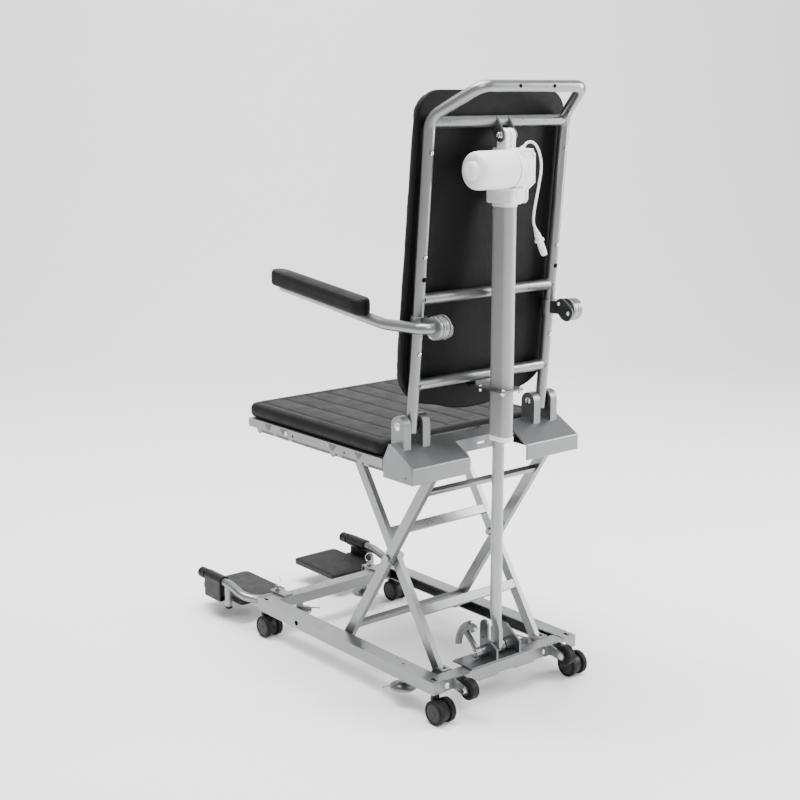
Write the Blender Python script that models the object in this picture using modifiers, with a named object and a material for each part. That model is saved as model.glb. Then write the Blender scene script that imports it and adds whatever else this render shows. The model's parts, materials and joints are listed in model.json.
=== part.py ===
"""Powered scissor-lift chair that carries a person from the floor to standing height, at full height.

Metres, +Z up. The chair faces -Y and the user's left is +X. All places are written in the base's own
frame, whose origin is on the floor at the middle of the wheeled base. One empty, "origin", moves that frame
along Y so that the world origin lies on the floor at the middle of the whole chair's box.
"""

import math

import bmesh
import bpy
from mathutils import Matrix, Vector

# ---------------------------------------------------------------- driving sizes
GAP = 0.0003  # between touching pieces
RUNNING_GAP = 0.00006  # radial, between a pin and the hole it turns in

BASE_WIDTH = 0.400
BASE_LENGTH = 0.610
RAIL_WIDTH = 0.035
RAIL_TOP = 0.084
RAIL_HEIGHT = 0.026
RAIL_WALL = 0.0025
BEAM_WIDTH = 0.032
BEAM_DROP = 0.001  # the cross beams' tops lie this far under the rails' tops
RAIL_HOLE_Y = -0.154
RAIL_HOLE_RADIUS = 0.0055

CASTER_INSET = 0.014  # of the caster stem from the rail's outer face
CASTER_END_INSET = 0.010
CASTER_TRAIL = 0.016
CASTER_RADIUS = 0.025
CASTER_TREAD = 0.013
CASTER_SPREAD = 0.0145  # wheel centre from the swivel's plane
CASTER_STEM = 0.004

TIP_WHEEL_X = 0.135
TIP_WHEEL_OUT = 0.033  # wheel centre behind the rear beam
TIP_WHEEL_Z = 0.066
TIP_WHEEL_RADIUS = 0.021
TIP_WHEEL_WIDTH = 0.020
PLATE = 0.0035

FOOT_RADIUS = 0.028
FOOT_LIFT = 0.033  # height of the raised foot's underside
FRONT_FOOT_X = 0.094
REAR_FOOT_Y = 0.192
FOOT_STEM = 0.004
FOOT_NUT_DROP = 0.012

ARM_LENGTH = 0.503  # scissor arm, pivot to pivot
ARM_ANGLE = 56.65  # degrees from the floor at full height
ARM_WIDTH = 0.022
ARM_THICK = 0.012
OUTER_ARM_X = 0.154
INNER_ARM_X = 0.136
PIVOT_Y = 0.251  # base pivot, and the seat pivot straight above it
PIVOT_Z = 0.071
PIN = 0.005
GLIDE_BASE = 0.010
GLIDE_SEAT = 0.009

SEAT_WIDTH = 0.454
SEAT_FRONT = -0.283
SEAT_TOP = 0.516
SEAT_SHEET = 0.0035
SEAT_LIP = 0.0185
CASTING_FRONT = 0.182
CASTING_REAR = 0.272
CASTING_BOTTOM = 0.480
CASTING_CREST = (0.201, 0.551)  # y, z of the ridge at the front of the sloping cover
CASTING_REAR_TOP = 0.5125
CASTING_WALL = 0.004
NOTCH_HALF_WIDTH = 0.078
NOTCH_FRONT = 0.227
NOTCH_BOTTOM = 0.510

HINGE_Y = 0.206
HINGE_Z = 0.583
EAR_RADIUS = 0.019
EAR_THICK = 0.0185

TUBE = 0.011  # radius of the backrest and armrest tubes
BACK_X = 0.1756
BACK_LEAN = 0.086  # rearward run over rise
KNEE_Z = 1.165
HANDLE_Z = 1.222
HANDLE_OUT = 0.0885  # behind the knees
HANDLE_INSET = 0.045  # of the handle's corners from the uprights
HANDLE_CORNER = 0.030
CROSS_MID_Z = 0.828
CROSS_LOW_Z = 0.660

CUSHION_HALF = 0.198
CUSHION_TOP = 1.216
CUSHION_THICK = 0.036
CUSHION_STANDOFF = 0.004

TUBE_X = 0.030  # actuator tube, across the chair
TUBE_Y = 0.052
TUBE_CORNER = 0.014
ACTUATOR_Y = 0.275
ROD_Y = 0.268
ROD = 0.012
ROD_TOP = 0.600
NECK_TOP = 0.176
NECK_LOW = 0.135
BLADE_HALF = 0.0048
LUG_HALF = 0.0132
TUBE_BOTTOM = 0.545
GEAR_BOTTOM = 1.003
GEAR_TOP = 1.108
MOTOR_Y = 0.305
MOTOR_Z = 1.069
MOTOR = 0.0365
MOTOR_START = 0.0213
MOTOR_END = 0.112
CLEVIS_Y = 0.277
CLEVIS_Z = 1.131

ARMREST_X = 0.2105
ARM_PIVOT_Y = 0.287
ARM_PIVOT_Z = 0.782
HUB_RADIUS = 0.023
PAD_WIDTH = 0.044
PAD_OUT = 0.0105  # pad's middle outboard of the tube's, so that it swings up past the back cushion
PAD_HEIGHT = 0.027

STIRRUP_X = 0.211  # footrest tube
STIRRUP_TUBE = 0.0095
STIRRUP_Z = 0.093
STIRRUP_SOCKET_Y = -0.318
STIRRUP_SOCKET_Z = 0.074
LOCK_X = 0.135
LOCK_PIN = 0.003
PLATE_Y = (-0.545, -0.375)
PLATE_Z = (0.046, 0.060)

SHAFT_Y = 0.272
SHAFT_Z = 0.100
SHAFT = 0.006
HOOK_RADIUS = 0.066

CABLE = 0.0025
CABLE_ROUTE = (
    (-0.0260, 0.2980, 1.1095),
    (-0.0330, 0.2990, 1.1165),
    (-0.0440, 0.3000, 1.1180),
    (-0.0560, 0.3000, 1.1120),
    (-0.0665, 0.2990, 1.0980),
    (-0.0735, 0.2980, 1.0780),
    (-0.0740, 0.2970, 1.0580),
    (-0.0700, 0.2960, 1.0330),
    (-0.0640, 0.2960, 1.0070),
    (-0.0590, 0.2960, 0.9840),
    (-0.0578, 0.2960, 0.9710),
    (-0.0588, 0.2960, 0.9610),
    (-0.0628, 0.2960, 0.9530),
)
GLAND_TIP = Vector(CABLE_ROUTE[0]) + Vector((0.0002, 0, -0.0002))
GLAND_FOOT = Vector((-0.0165, 0.297, 1.0990))
PLUG_LENGTH = 0.060

# ---------------------------------------------------------------- derived places
ORIGIN_Y = -(PLATE_Y[0] + BASE_LENGTH / 2 + TIP_WHEEL_OUT + TIP_WHEEL_RADIUS) / 2
RAIL_BOTTOM = RAIL_TOP - RAIL_HEIGHT
SOCKET_TOP = STIRRUP_SOCKET_Z + STIRRUP_TUBE + GAP + PLATE
RAIL_INNER = BASE_WIDTH / 2 - RAIL_WIDTH
BASE_END = BASE_LENGTH / 2
BEAM_TOP = RAIL_TOP - BEAM_DROP
CASTER_X = BASE_WIDTH / 2 - CASTER_INSET
CASTER_Y = BASE_END - CASTER_END_INSET
RISE = ARM_LENGTH * math.sin(math.radians(ARM_ANGLE))
REACH = ARM_LENGTH * math.cos(math.radians(ARM_ANGLE))
TOP_Z = PIVOT_Z + RISE
FRONT_Y = PIVOT_Y - REACH
CENTRE = Vector((0, PIVOT_Y - REACH / 2, PIVOT_Z + RISE / 2))
SEAT_LIP_BOTTOM = SEAT_TOP - SEAT_LIP
SEAT_UNDER = SEAT_TOP - SEAT_SHEET
COVER_SLOPE = (CASTING_REAR_TOP - CASTING_CREST[1]) / (CASTING_REAR - CASTING_CREST[0])


def back_y(z):
    """The backrest tube's centre at this height."""
    return HINGE_Y + 0.003 + BACK_LEAN * (z - HINGE_Z)


# ---------------------------------------------------------------- scene and materials
for stale in list(bpy.data.objects):
    bpy.data.objects.remove(stale)

PARTS = bpy.data.collections.new("sit_to_stand_lift")
HELPERS = bpy.data.collections.new("cutters")
for made in (PARTS, HELPERS):
    bpy.context.scene.collection.children.link(made)


def material(name, colour, roughness, metallic):
    made = bpy.data.materials.new(name)
    made.use_nodes = True
    shader = made.node_tree.nodes["Principled BSDF"]
    shader.inputs["Base Color"].default_value = (*colour, 1)
    shader.inputs["Roughness"].default_value = roughness
    shader.inputs["Metallic"].default_value = metallic
    return made


LOOKS = {
    "frame": material("silver_frame", (0.52, 0.53, 0.54), 0.38, 0.85),
    "dark_steel": material("dark_steel", (0.16, 0.165, 0.17), 0.42, 0.7),
    "zinc": material("zinc_steel", (0.62, 0.62, 0.60), 0.30, 0.9),
    "rod": material("actuator_rod", (0.66, 0.68, 0.67), 0.28, 0.8),
    "housing": material("white_housing", (0.86, 0.86, 0.85), 0.42, 0.0),
    "tube": material("actuator_tube", (0.60, 0.60, 0.59), 0.55, 0.3),
    "black": material("black_plastic", (0.020, 0.020, 0.021), 0.55, 0.0),
    "rubber": material("wheel_rubber", (0.016, 0.016, 0.017), 0.75, 0.0),
    "cushion": material("black_upholstery", (0.022, 0.022, 0.023), 0.65, 0.0),
}


def settle(obj, look=None):
    """Puts a piece in its collection. A piece with no look is a cutter or is joined to another."""
    if look is None:
        HELPERS.objects.link(obj)
        obj.hide_render = True
        obj.display_type = "WIRE"
        obj.parent = ORIGIN
    else:
        PARTS.objects.link(obj)
        obj.data.materials.clear()
        obj.data.materials.append(LOOKS[look])
        attach(obj, ORIGIN)
    return obj


def attach(obj, pivot):
    """Parents a piece drawn in the base's frame, keeping its place and putting its origin on the pivot."""
    if obj.type == "MESH":
        obj.data.transform(Matrix.Translation(-Vector(pivot["at"])))
        obj.location = (0, 0, 0)
        for modifier in obj.modifiers:
            if modifier.type == "BOOLEAN" and modifier.object.parent != pivot:
                attach(modifier.object, pivot)
    obj.parent = pivot
    return obj


def pivot(name, at, parent):
    made = bpy.data.objects.new(name, None)
    made.empty_display_size = 0.02
    made["at"] = tuple(at)
    made.location = Vector(at) - Vector(parent["at"]) if parent else Vector(at)
    made.parent = parent
    PARTS.objects.link(made)
    return made


ORIGIN = bpy.data.objects.new("origin", None)
ORIGIN["at"] = (0.0, 0.0, 0.0)
ORIGIN.location = (0, ORIGIN_Y, 0)
PARTS.objects.link(ORIGIN)


# ---------------------------------------------------------------- shapes
def from_bmesh(name, form, look=None):
    mesh = bpy.data.meshes.new(name)
    form.to_mesh(mesh)
    form.free()
    return settle(bpy.data.objects.new(name, mesh), look)


def box(name, low, high, look=None, bevel=0.0, segments=2):
    low, high = Vector(low), Vector(high)
    form = bmesh.new()
    bmesh.ops.create_cube(form, size=1.0)
    bmesh.ops.scale(form, vec=high - low, verts=form.verts)
    bmesh.ops.translate(form, vec=(low + high) / 2, verts=form.verts)
    obj = from_bmesh(name, form, look)
    return bevelled(obj, bevel, segments)


def bevelled(obj, width, segments=2, angle=40):
    if width:
        edge = obj.modifiers.new("edges", "BEVEL")
        edge.width = width
        edge.segments = segments
        edge.limit_method = "ANGLE"
        edge.angle_limit = math.radians(angle)
    return obj


def rounded_off(obj, angle=35):
    """Smooth shading, with edges sharper than this kept crisp."""
    obj.data.shade_smooth()
    obj.data.set_sharp_from_angle(angle=math.radians(angle))
    return obj


def rod(name, start, end, radius, look=None, sides=24, end_radius=None):
    start, end = Vector(start), Vector(end)
    form = bmesh.new()
    bmesh.ops.create_cone(
        form,
        cap_ends=True,
        segments=sides,
        radius1=radius,
        radius2=radius if end_radius is None else end_radius,
        depth=(end - start).length,
    )
    turn = Vector((0, 0, 1)).rotation_difference(end - start).to_matrix().to_4x4()
    bmesh.ops.transform(form, matrix=Matrix.Translation((start + end) / 2) @ turn, verts=form.verts)
    return rounded_off(from_bmesh(name, form, look))


def rod_x(name, y, z, low, high, radius, look=None, sides=24):
    return rod(name, (low, y, z), (high, y, z), radius, look, sides)


def mesh_of_curve(name, curve, matrix, look):
    """The curve as a closed mesh, its caps welded to its sides."""
    guide = bpy.data.objects.new(name + "_guide", curve)
    bpy.context.scene.collection.objects.link(guide)
    guide.matrix_world = matrix
    bpy.context.view_layer.update()
    seen = guide.evaluated_get(bpy.context.evaluated_depsgraph_get())
    mesh = bpy.data.meshes.new_from_object(seen)
    mesh.transform(matrix)
    bpy.data.objects.remove(guide)
    form = bmesh.new()
    form.from_mesh(mesh)
    bmesh.ops.remove_doubles(form, verts=form.verts, dist=0.00001)
    bmesh.ops.recalc_face_normals(form, faces=form.faces)
    form.to_mesh(mesh)
    form.free()
    mesh.name = name
    return settle(bpy.data.objects.new(name, mesh), look)


AXES = {
    "X": Matrix(((0, 0, 1, 0), (1, 0, 0, 0), (0, 1, 0, 0), (0, 0, 0, 1))),  # outline in Y, Z
    "Y": Matrix(((1, 0, 0, 0), (0, 0, -1, 0), (0, 1, 0, 0), (0, 0, 0, 1))),  # outline in X, Z
    "Z": Matrix.Identity(4),  # outline in X, Y
}


def slab(name, outline, axis, low, high, look=None):
    """A flat outline given thickness along the axis, from low to high."""
    curve = bpy.data.curves.new(name, "CURVE")
    curve.dimensions = "2D"
    curve.fill_mode = "BOTH"
    curve.extrude = (high - low) / 2
    spline = curve.splines.new("POLY")
    spline.points.add(len(outline) - 1)
    for point, (u, v) in zip(spline.points, outline):
        point.co = (u, v, 0, 1)
    spline.use_cyclic_u = True
    middle = (low + high) / 2
    shift = {"X": (middle, 0, 0), "Y": (0, middle, 0), "Z": (0, 0, middle)}[axis]
    return rounded_off(mesh_of_curve(name, curve, Matrix.Translation(shift) @ AXES[axis], look))


def tube(name, route, radius, look=None, sides=16):
    curve = bpy.data.curves.new(name, "CURVE")
    curve.dimensions = "3D"
    curve.bevel_depth = radius
    curve.bevel_resolution = sides // 2 - 2
    curve.use_fill_caps = True
    spline = curve.splines.new("POLY")
    spline.points.add(len(route) - 1)
    for point, place in zip(spline.points, route):
        point.co = (*place, 1)
    return rounded_off(mesh_of_curve(name, curve, Matrix.Identity(4), look), 50)


def arc(centre, radius, first, last, steps):
    """Points of an arc, angles in degrees."""
    turns = [math.radians(first + (last - first) * i / steps) for i in range(steps + 1)]
    return [(centre[0] + radius * math.cos(t), centre[1] + radius * math.sin(t)) for t in turns]


def stadium(start, end, radius, steps=6):
    """The outline round two points, as wide as the diameter."""
    heading = math.degrees(math.atan2(end[1] - start[1], end[0] - start[0]))
    return arc(end, radius, heading - 90, heading + 90, steps) + arc(
        start, radius, heading + 90, heading + 270, steps
    )


def rounded_rectangle(low, high, radius, steps=5):
    outline = []
    for turn, (u, v) in enumerate(((1, 1), (0, 1), (0, 0), (1, 0))):
        centre = (
            high[0] - radius if u else low[0] + radius,
            high[1] - radius if v else low[1] + radius,
        )
        outline += arc(centre, radius, 90 * turn, 90 * turn + 90, steps)
    return outline


def bent(corners, radii):
    """A route through corners, each but the first and last rounded to its radius."""
    corners = [Vector(corner) for corner in corners]
    route = [corners[0]]
    for before, corner, after, radius in zip(corners, corners[1:], corners[2:], radii):
        back = (before - corner).normalized()
        ahead = (after - corner).normalized()
        half = back.angle(ahead) / 2
        centre = corner + (back + ahead).normalized() * (radius / math.sin(half))
        start = (corner + back * (radius / math.tan(half)) - centre).normalized()
        end = (corner + ahead * (radius / math.tan(half)) - centre).normalized()
        steps = max(2, round(start.angle(end) / math.radians(14)))
        route += [centre + start.slerp(end, i / steps) * radius for i in range(steps + 1)]
    return route + [corners[-1]]


def combine(obj, others, operation):
    for other in others:
        change = obj.modifiers.new(f"{operation.lower()} {other.name}", "BOOLEAN")
        change.operation = operation
        change.object = other
        change.solver = "EXACT"
    return obj


def join(obj, *others):
    return combine(obj, others, "UNION")


def cut(obj, *others):
    return combine(obj, others, "DIFFERENCE")


def moves_with(pivot_empty, *pieces):
    """Hangs pieces, and the helpers that their Booleans use, on a joint's empty."""
    for piece in pieces:
        attach(piece, pivot_empty)


SIDES = (("left", 1), ("right", -1))


def span(side, near, far):
    """A stretch across the chair, given outward from its middle, as low and high X."""
    return (near, far) if side > 0 else (-far, -near)


# ---------------------------------------------------------------- wheeled base
def base_rail(name, side):
    """A C-channel, open towards the middle, with holes for the caster stems."""
    low, high = span(side, RAIL_INNER, BASE_WIDTH / 2)
    rail = box(f"base_rail_{name}", (low, -BASE_END, RAIL_BOTTOM), (high, BASE_END, RAIL_TOP), "frame")
    inner_low, inner_high = span(side, RAIL_INNER - 0.01, BASE_WIDTH / 2 - RAIL_WALL)
    channel = box(
        f"channel_{name}",
        (inner_low, -BASE_END - 0.01, RAIL_BOTTOM + RAIL_WALL),
        (inner_high, BASE_END + 0.01, RAIL_TOP - RAIL_WALL),
    )
    holes = [
        rod(
            f"stem_hole_{name}_{i}",
            (side * CASTER_X, y, RAIL_BOTTOM - 0.02),
            (side * CASTER_X, y, RAIL_TOP + 0.02),
            CASTER_STEM + RUNNING_GAP,
        )
        for i, y in enumerate((-CASTER_Y, CASTER_Y))
    ]
    side_hole = rod(
        f"side_hole_{name}",
        (side * (RAIL_INNER + 0.02), RAIL_HOLE_Y, (RAIL_TOP + RAIL_BOTTOM) / 2),
        (side * (BASE_WIDTH / 2 + 0.01), RAIL_HOLE_Y, (RAIL_TOP + RAIL_BOTTOM) / 2),
        RAIL_HOLE_RADIUS,
        sides=16,
    )
    nut = rod(
        f"rear_foot_nut_{name}",
        (side * (RAIL_INNER + RAIL_WIDTH / 2), REAR_FOOT_Y, RAIL_BOTTOM - FOOT_NUT_DROP),
        (side * (RAIL_INNER + RAIL_WIDTH / 2), REAR_FOOT_Y, RAIL_TOP - RAIL_WALL / 2),
        FOOT_STEM + 0.004,
        sides=6,
    )
    bore = foot_bore(f"rear_foot_bore_{name}", side * (RAIL_INNER + RAIL_WIDTH / 2), REAR_FOOT_Y)
    cut(rail, channel)
    join(rail, nut)
    return cut(rail, *holes, side_hole, bore)


def foot_bore(name, x, y):
    return rod(name, (x, y, 0), (x, y, RAIL_TOP + 0.02), FOOT_STEM + RUNNING_GAP)


def beam(name, low_y, high_y):
    """A hollow cross beam between the rails, open at both ends."""
    half = RAIL_INNER - GAP
    outer = box(name, (-half, low_y, RAIL_BOTTOM + BEAM_DROP), (half, high_y, BEAM_TOP), "frame")
    inner = box(
        f"{name}_hollow",
        (-half - 0.01, low_y + RAIL_WALL, RAIL_BOTTOM + BEAM_DROP + RAIL_WALL),
        (half + 0.01, high_y - RAIL_WALL, BEAM_TOP - RAIL_WALL),
    )
    return cut(outer, inner)


def front_beam():
    """Carries the front feet, and the brackets that the footrest tubes plug into."""
    y = -BASE_END + BEAM_WIDTH / 2
    front = beam("front_beam", -BASE_END, -BASE_END + BEAM_WIDTH)
    bores = []
    for name, side in SIDES:
        nut = rod(
            f"front_foot_nut_{name}",
            (side * FRONT_FOOT_X, y, RAIL_BOTTOM - FOOT_NUT_DROP),
            (side * FRONT_FOOT_X, y, BEAM_TOP - RAIL_WALL / 2),
            FOOT_STEM + 0.004,
            sides=6,
        )
        low, high = span(side, LOCK_X - 0.013, LOCK_X + 0.013)
        socket_front = STIRRUP_SOCKET_Y - STIRRUP_TUBE - 0.004
        bracket = box(
            f"socket_bracket_{name}",
            (low, socket_front, SOCKET_TOP - PLATE),
            (high, -BASE_END + BEAM_WIDTH - 0.004, SOCKET_TOP),
        )
        shim = box(
            f"socket_shim_{name}",
            (low, -BASE_END + 0.001, BEAM_TOP - 0.001),
            (high, -BASE_END + BEAM_WIDTH - 0.004, SOCKET_TOP - 0.001),
        )
        lip = box(
            f"socket_lip_{name}",
            (low, socket_front, RAIL_BOTTOM + 0.006),
            (high, STIRRUP_SOCKET_Y - STIRRUP_TUBE - GAP, SOCKET_TOP - 0.001),
        )
        join(front, nut, bracket, shim, lip)
        bores.append(foot_bore(f"front_foot_bore_{name}", side * FRONT_FOOT_X, y))
        bores.append(
            rod(
                f"lock_bore_{name}",
                (side * LOCK_X, STIRRUP_SOCKET_Y, RAIL_BOTTOM),
                (side * LOCK_X, STIRRUP_SOCKET_Y, RAIL_TOP + 0.02),
                LOCK_PIN + RUNNING_GAP,
            )
        )
    return cut(front, *bores)


def rear_beam():
    rear = beam("rear_beam", BASE_END - BEAM_WIDTH, BASE_END)
    for name, side in SIDES:
        low, high = span(side, 0.022, 0.078)
        tab = box(
            f"beam_tab_{name}",
            (low, BASE_END - 0.022, RAIL_BOTTOM + BEAM_DROP - 0.004),
            (high, BASE_END - 0.001, RAIL_BOTTOM + BEAM_DROP + 0.001),
        )
        join(rear, tab)
    return rear


def pivot_bracket(name, side):
    """Two cheeks on the rear beam, and the pin that the inner scissor frame turns on."""
    low, high = span(side, INNER_ARM_X - ARM_THICK / 2 - 0.007, INNER_ARM_X + ARM_THICK / 2 + 0.006)
    back = BASE_END - BEAM_WIDTH - GAP
    foot, head = RAIL_BOTTOM + 0.002, BEAM_TOP + 0.002
    bracket = box(f"pivot_bracket_{name}", (low, back - 0.006, foot), (high, back, head), "frame")
    outline = [(back - 0.001, head), (back - 0.001, foot), (PIVOT_Y - 0.004, foot)]
    outline += arc((PIVOT_Y, PIVOT_Z), 0.0125, 225, 135, 6)
    outline += [(PIVOT_Y - 0.002, head)]
    arm_in, arm_out = INNER_ARM_X - ARM_THICK / 2, INNER_ARM_X + ARM_THICK / 2
    inner_low, inner_high = span(side, arm_in - 0.007, arm_in - GAP)
    outer_low, outer_high = span(side, arm_out + GAP, arm_out + 0.006)
    cheeks = (
        slab(f"cheek_in_{name}", outline, "X", inner_low, inner_high),
        slab(f"cheek_out_{name}", outline, "X", outer_low, outer_high),
    )
    pin_low, pin_high = span(side, INNER_ARM_X - 0.017, INNER_ARM_X + ARM_THICK / 2 + 0.004)
    pin = rod_x(f"base_pin_{name}", PIVOT_Y, PIVOT_Z, pin_low, pin_high, PIN)
    head_low, head_high = span(side, INNER_ARM_X - 0.0175, INNER_ARM_X - ARM_THICK / 2 - 0.006)
    head = rod_x(f"base_pin_head_{name}", PIVOT_Y, PIVOT_Z, head_low, head_high, 0.0075, sides=6)
    return join(bracket, *cheeks, pin, head)


def tip_fork(name, side):
    """The fork on the rear beam that holds a transport wheel off the floor."""
    half = TIP_WHEEL_WIDTH / 2 + 0.0012
    centre_y = BASE_END + TIP_WHEEL_OUT
    middle = side * TIP_WHEEL_X
    fork = box(
        f"tip_fork_{name}",
        (middle - half - PLATE - 0.016 * (side > 0), BASE_END + GAP, RAIL_BOTTOM + 0.002),
        (middle + half + PLATE + 0.016 * (side < 0), BASE_END + GAP + PLATE, BEAM_TOP - 0.001),
        "frame",
    )
    cheek = [(BASE_END + GAP + 0.001, BEAM_TOP - 0.001), (BASE_END + GAP + 0.001, RAIL_BOTTOM + 0.002)]
    cheek += arc((centre_y, TIP_WHEEL_Z), 0.0095, -80, 80, 8)
    cheeks = [
        slab(f"fork_cheek_{name}_{i}", cheek, "X", middle + low, middle + low + PLATE)
        for i, low in enumerate((-half - PLATE, half))
    ]
    reach = half + PLATE + 0.002
    axle = rod_x(f"fork_axle_{name}", centre_y, TIP_WHEEL_Z, middle - reach, middle + reach, 0.004)
    return join(fork, *cheeks, axle)


def tip_wheel(name, side):
    centre = Vector((side * TIP_WHEEL_X, BASE_END + TIP_WHEEL_OUT, TIP_WHEEL_Z))
    half = TIP_WHEEL_WIDTH / 2
    low, high = centre.x - half, centre.x + half
    wheel = rod_x(f"tip_wheel_{name}", centre.y, centre.z, low, high, TIP_WHEEL_RADIUS, "rubber", 28)
    bevelled(wheel, 0.003, 1)
    bore = rod_x(f"tip_bore_{name}", centre.y, centre.z, low - 0.01, high + 0.01, 0.004 + RUNNING_GAP)
    cut(wheel, bore)
    moves_with(pivot(f"tip_axle_{name}", centre, ORIGIN), wheel)


# ---------------------------------------------------------------- casters and feet
def caster(name, x, y):
    """A twin-wheel caster: a stem and hood that swivel, and a wheel pair that rolls."""
    swivel = pivot(f"swivel_{name}", (x, y, CASTER_RADIUS), ORIGIN)
    centre = (y + CASTER_TRAIL, CASTER_RADIUS)
    web = 0.0058
    hood_top = RAIL_BOTTOM - GAP
    outline = arc(centre, CASTER_RADIUS - 0.004, -60, 120, 12)
    outline += [(y - 0.008, hood_top - 0.008), (y - 0.008, hood_top - 0.022)]
    hood = slab(f"caster_fork_{name}", outline, "X", x - web, x + web, "black")
    collar = rod(f"caster_collar_{name}", (x, y, hood_top - 0.014), (x, y, hood_top), 0.0085, sides=16)
    stem = rod(f"caster_stem_{name}", (x, y, hood_top - 0.010), (x, y, RAIL_TOP - 0.001), CASTER_STEM)
    bore = rod_x(f"caster_bore_{name}", *centre, x - 0.03, x + 0.03, 0.004 + RUNNING_GAP)
    join(hood, collar, stem)
    cut(hood, bore)
    axle = rod_x(f"caster_wheels_{name}", *centre, x - CASTER_SPREAD, x + CASTER_SPREAD, 0.004, "rubber")
    discs = []
    for i, offset in enumerate((-CASTER_SPREAD, CASTER_SPREAD)):
        low = x + offset - CASTER_TREAD / 2
        disc = rod_x(f"caster_disc_{name}_{i}", *centre, low, low + CASTER_TREAD, CASTER_RADIUS, sides=28)
        discs.append(bevelled(disc, 0.0025, 1))
    join(axle, *discs)
    moves_with(swivel, hood)
    moves_with(pivot(f"caster_axle_{name}", (x, *centre), swivel), axle)


def foot(name, x, y, bar_heading):
    """A screw-down foot: a disc on a threaded stem, turned by a short bar."""
    top = FOOT_LIFT + 0.006
    disc = rod(f"foot_{name}", (x, y, FOOT_LIFT), (x, y, top), FOOT_RADIUS, "zinc", 28)
    bevelled(disc, 0.0015, 1)
    cone_top = (x, y, top + 0.006)
    cone = rod(f"foot_cone_{name}", (x, y, top - 0.001), cone_top, 0.016, sides=16, end_radius=0.006)
    stem = rod(f"foot_stem_{name}", (x, y, top), (x, y, BEAM_TOP), FOOT_STEM)
    reach = Vector((math.cos(math.radians(bar_heading)), math.sin(math.radians(bar_heading)), 0)) * 0.047
    start = Vector((x, y, top + 0.003))
    bar = rod(f"foot_bar_{name}", start, start + reach, 0.0016, sides=10)
    join(disc, cone, stem, bar)
    moves_with(pivot(f"foot_screw_{name}", (x, y, FOOT_LIFT), ORIGIN), disc)


# ---------------------------------------------------------------- scissor frames
def scissor_arm(name, x, low, high, bores, side, shapes):
    """One arm of the scissor: low and high are its pivots, as Y and Z."""
    arm = slab(
        name,
        stadium(low, high, ARM_WIDTH / 2),
        "X",
        side * x - ARM_THICK / 2,
        side * x + ARM_THICK / 2,
        "frame",
    )
    holes = [
        rod_x(f"{name}_bore_{i}", *at, side * x - 0.02, side * x + 0.02, PIN + RUNNING_GAP)
        for i, at in enumerate(bores)
    ]
    cut(arm, *holes)
    return join(arm, *shapes)


def glide(name, side, arm_x, y, z, radius):
    """A round glide that runs in a channel, and the pin that carries it."""
    pin_low, pin_high = span(side, arm_x, RAIL_INNER + 0.022)
    puck_low, puck_high = span(side, RAIL_INNER + 0.004, RAIL_INNER + 0.027)
    return (
        rod_x(f"{name}_pin", y, z, pin_low, pin_high, PIN, sides=16),
        rod_x(f"{name}_puck", y, z, puck_low, puck_high, radius, sides=20),
    )


def scissor(base_pivot, centre_pivot):
    """The inner frame rises forward from the base pivot; the outer one rises rearward to the seat pivot."""
    low_rear, top_front = (PIVOT_Y, PIVOT_Z), (FRONT_Y, TOP_Z)
    low_front, top_rear = (FRONT_Y, PIVOT_Z), (PIVOT_Y, TOP_Z)
    middle = (CENTRE.y, CENTRE.z)
    for name, side in SIDES:
        inner = scissor_arm(
            f"inner_arm_{name}",
            INNER_ARM_X,
            low_rear,
            top_front,
            (low_rear, middle),
            side,
            glide(f"seat_glide_{name}", side, INNER_ARM_X, *top_front, GLIDE_SEAT),
        )
        moves_with(base_pivot, inner)
        pin_low, pin_high = span(side, INNER_ARM_X - 0.016, OUTER_ARM_X)
        head_low, head_high = span(side, OUTER_ARM_X + 0.005, OUTER_ARM_X + 0.0100)
        nut_low, nut_high = span(side, INNER_ARM_X - 0.0155, INNER_ARM_X - ARM_THICK / 2 - GAP)
        gap_low, gap_high = span(side, INNER_ARM_X + ARM_THICK / 2 + GAP, OUTER_ARM_X)
        centre_bolt = (
            rod_x(f"centre_pin_{name}", *middle, pin_low, pin_high, PIN),
            rod_x(f"centre_head_{name}", *middle, head_low, head_high, 0.0085, sides=16),
            rod_x(f"centre_nut_{name}", *middle, nut_low, nut_high, 0.0080, sides=6),
            rod_x(f"centre_washer_{name}", *middle, gap_low, gap_high, 0.0095, sides=16),
        )
        outer = scissor_arm(
            f"outer_arm_{name}",
            OUTER_ARM_X,
            low_front,
            top_rear,
            (top_rear,),
            side,
            glide(f"base_glide_{name}", side, OUTER_ARM_X, *low_front, GLIDE_BASE) + centre_bolt,
        )
        moves_with(centre_pivot, outer)
    inner_half = INNER_ARM_X - ARM_THICK / 2 - GAP
    outer_half = OUTER_ARM_X - ARM_THICK / 2 - GAP
    for label, share, tall in (("low", 0.255, 0.020), ("high", 0.600, 0.020)):
        bar = cross_bar(f"inner_bar_{label}", low_rear, top_front, share, tall, 0.010, inner_half, 1)
        moves_with(base_pivot, bar)
    for label, share, tall in (("low", 0.070, 0.016), ("high", 0.876, 0.012)):
        bar = cross_bar(f"outer_bar_{label}", low_front, top_rear, share, tall, 0.012, outer_half, -1)
        moves_with(centre_pivot, bar)


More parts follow.
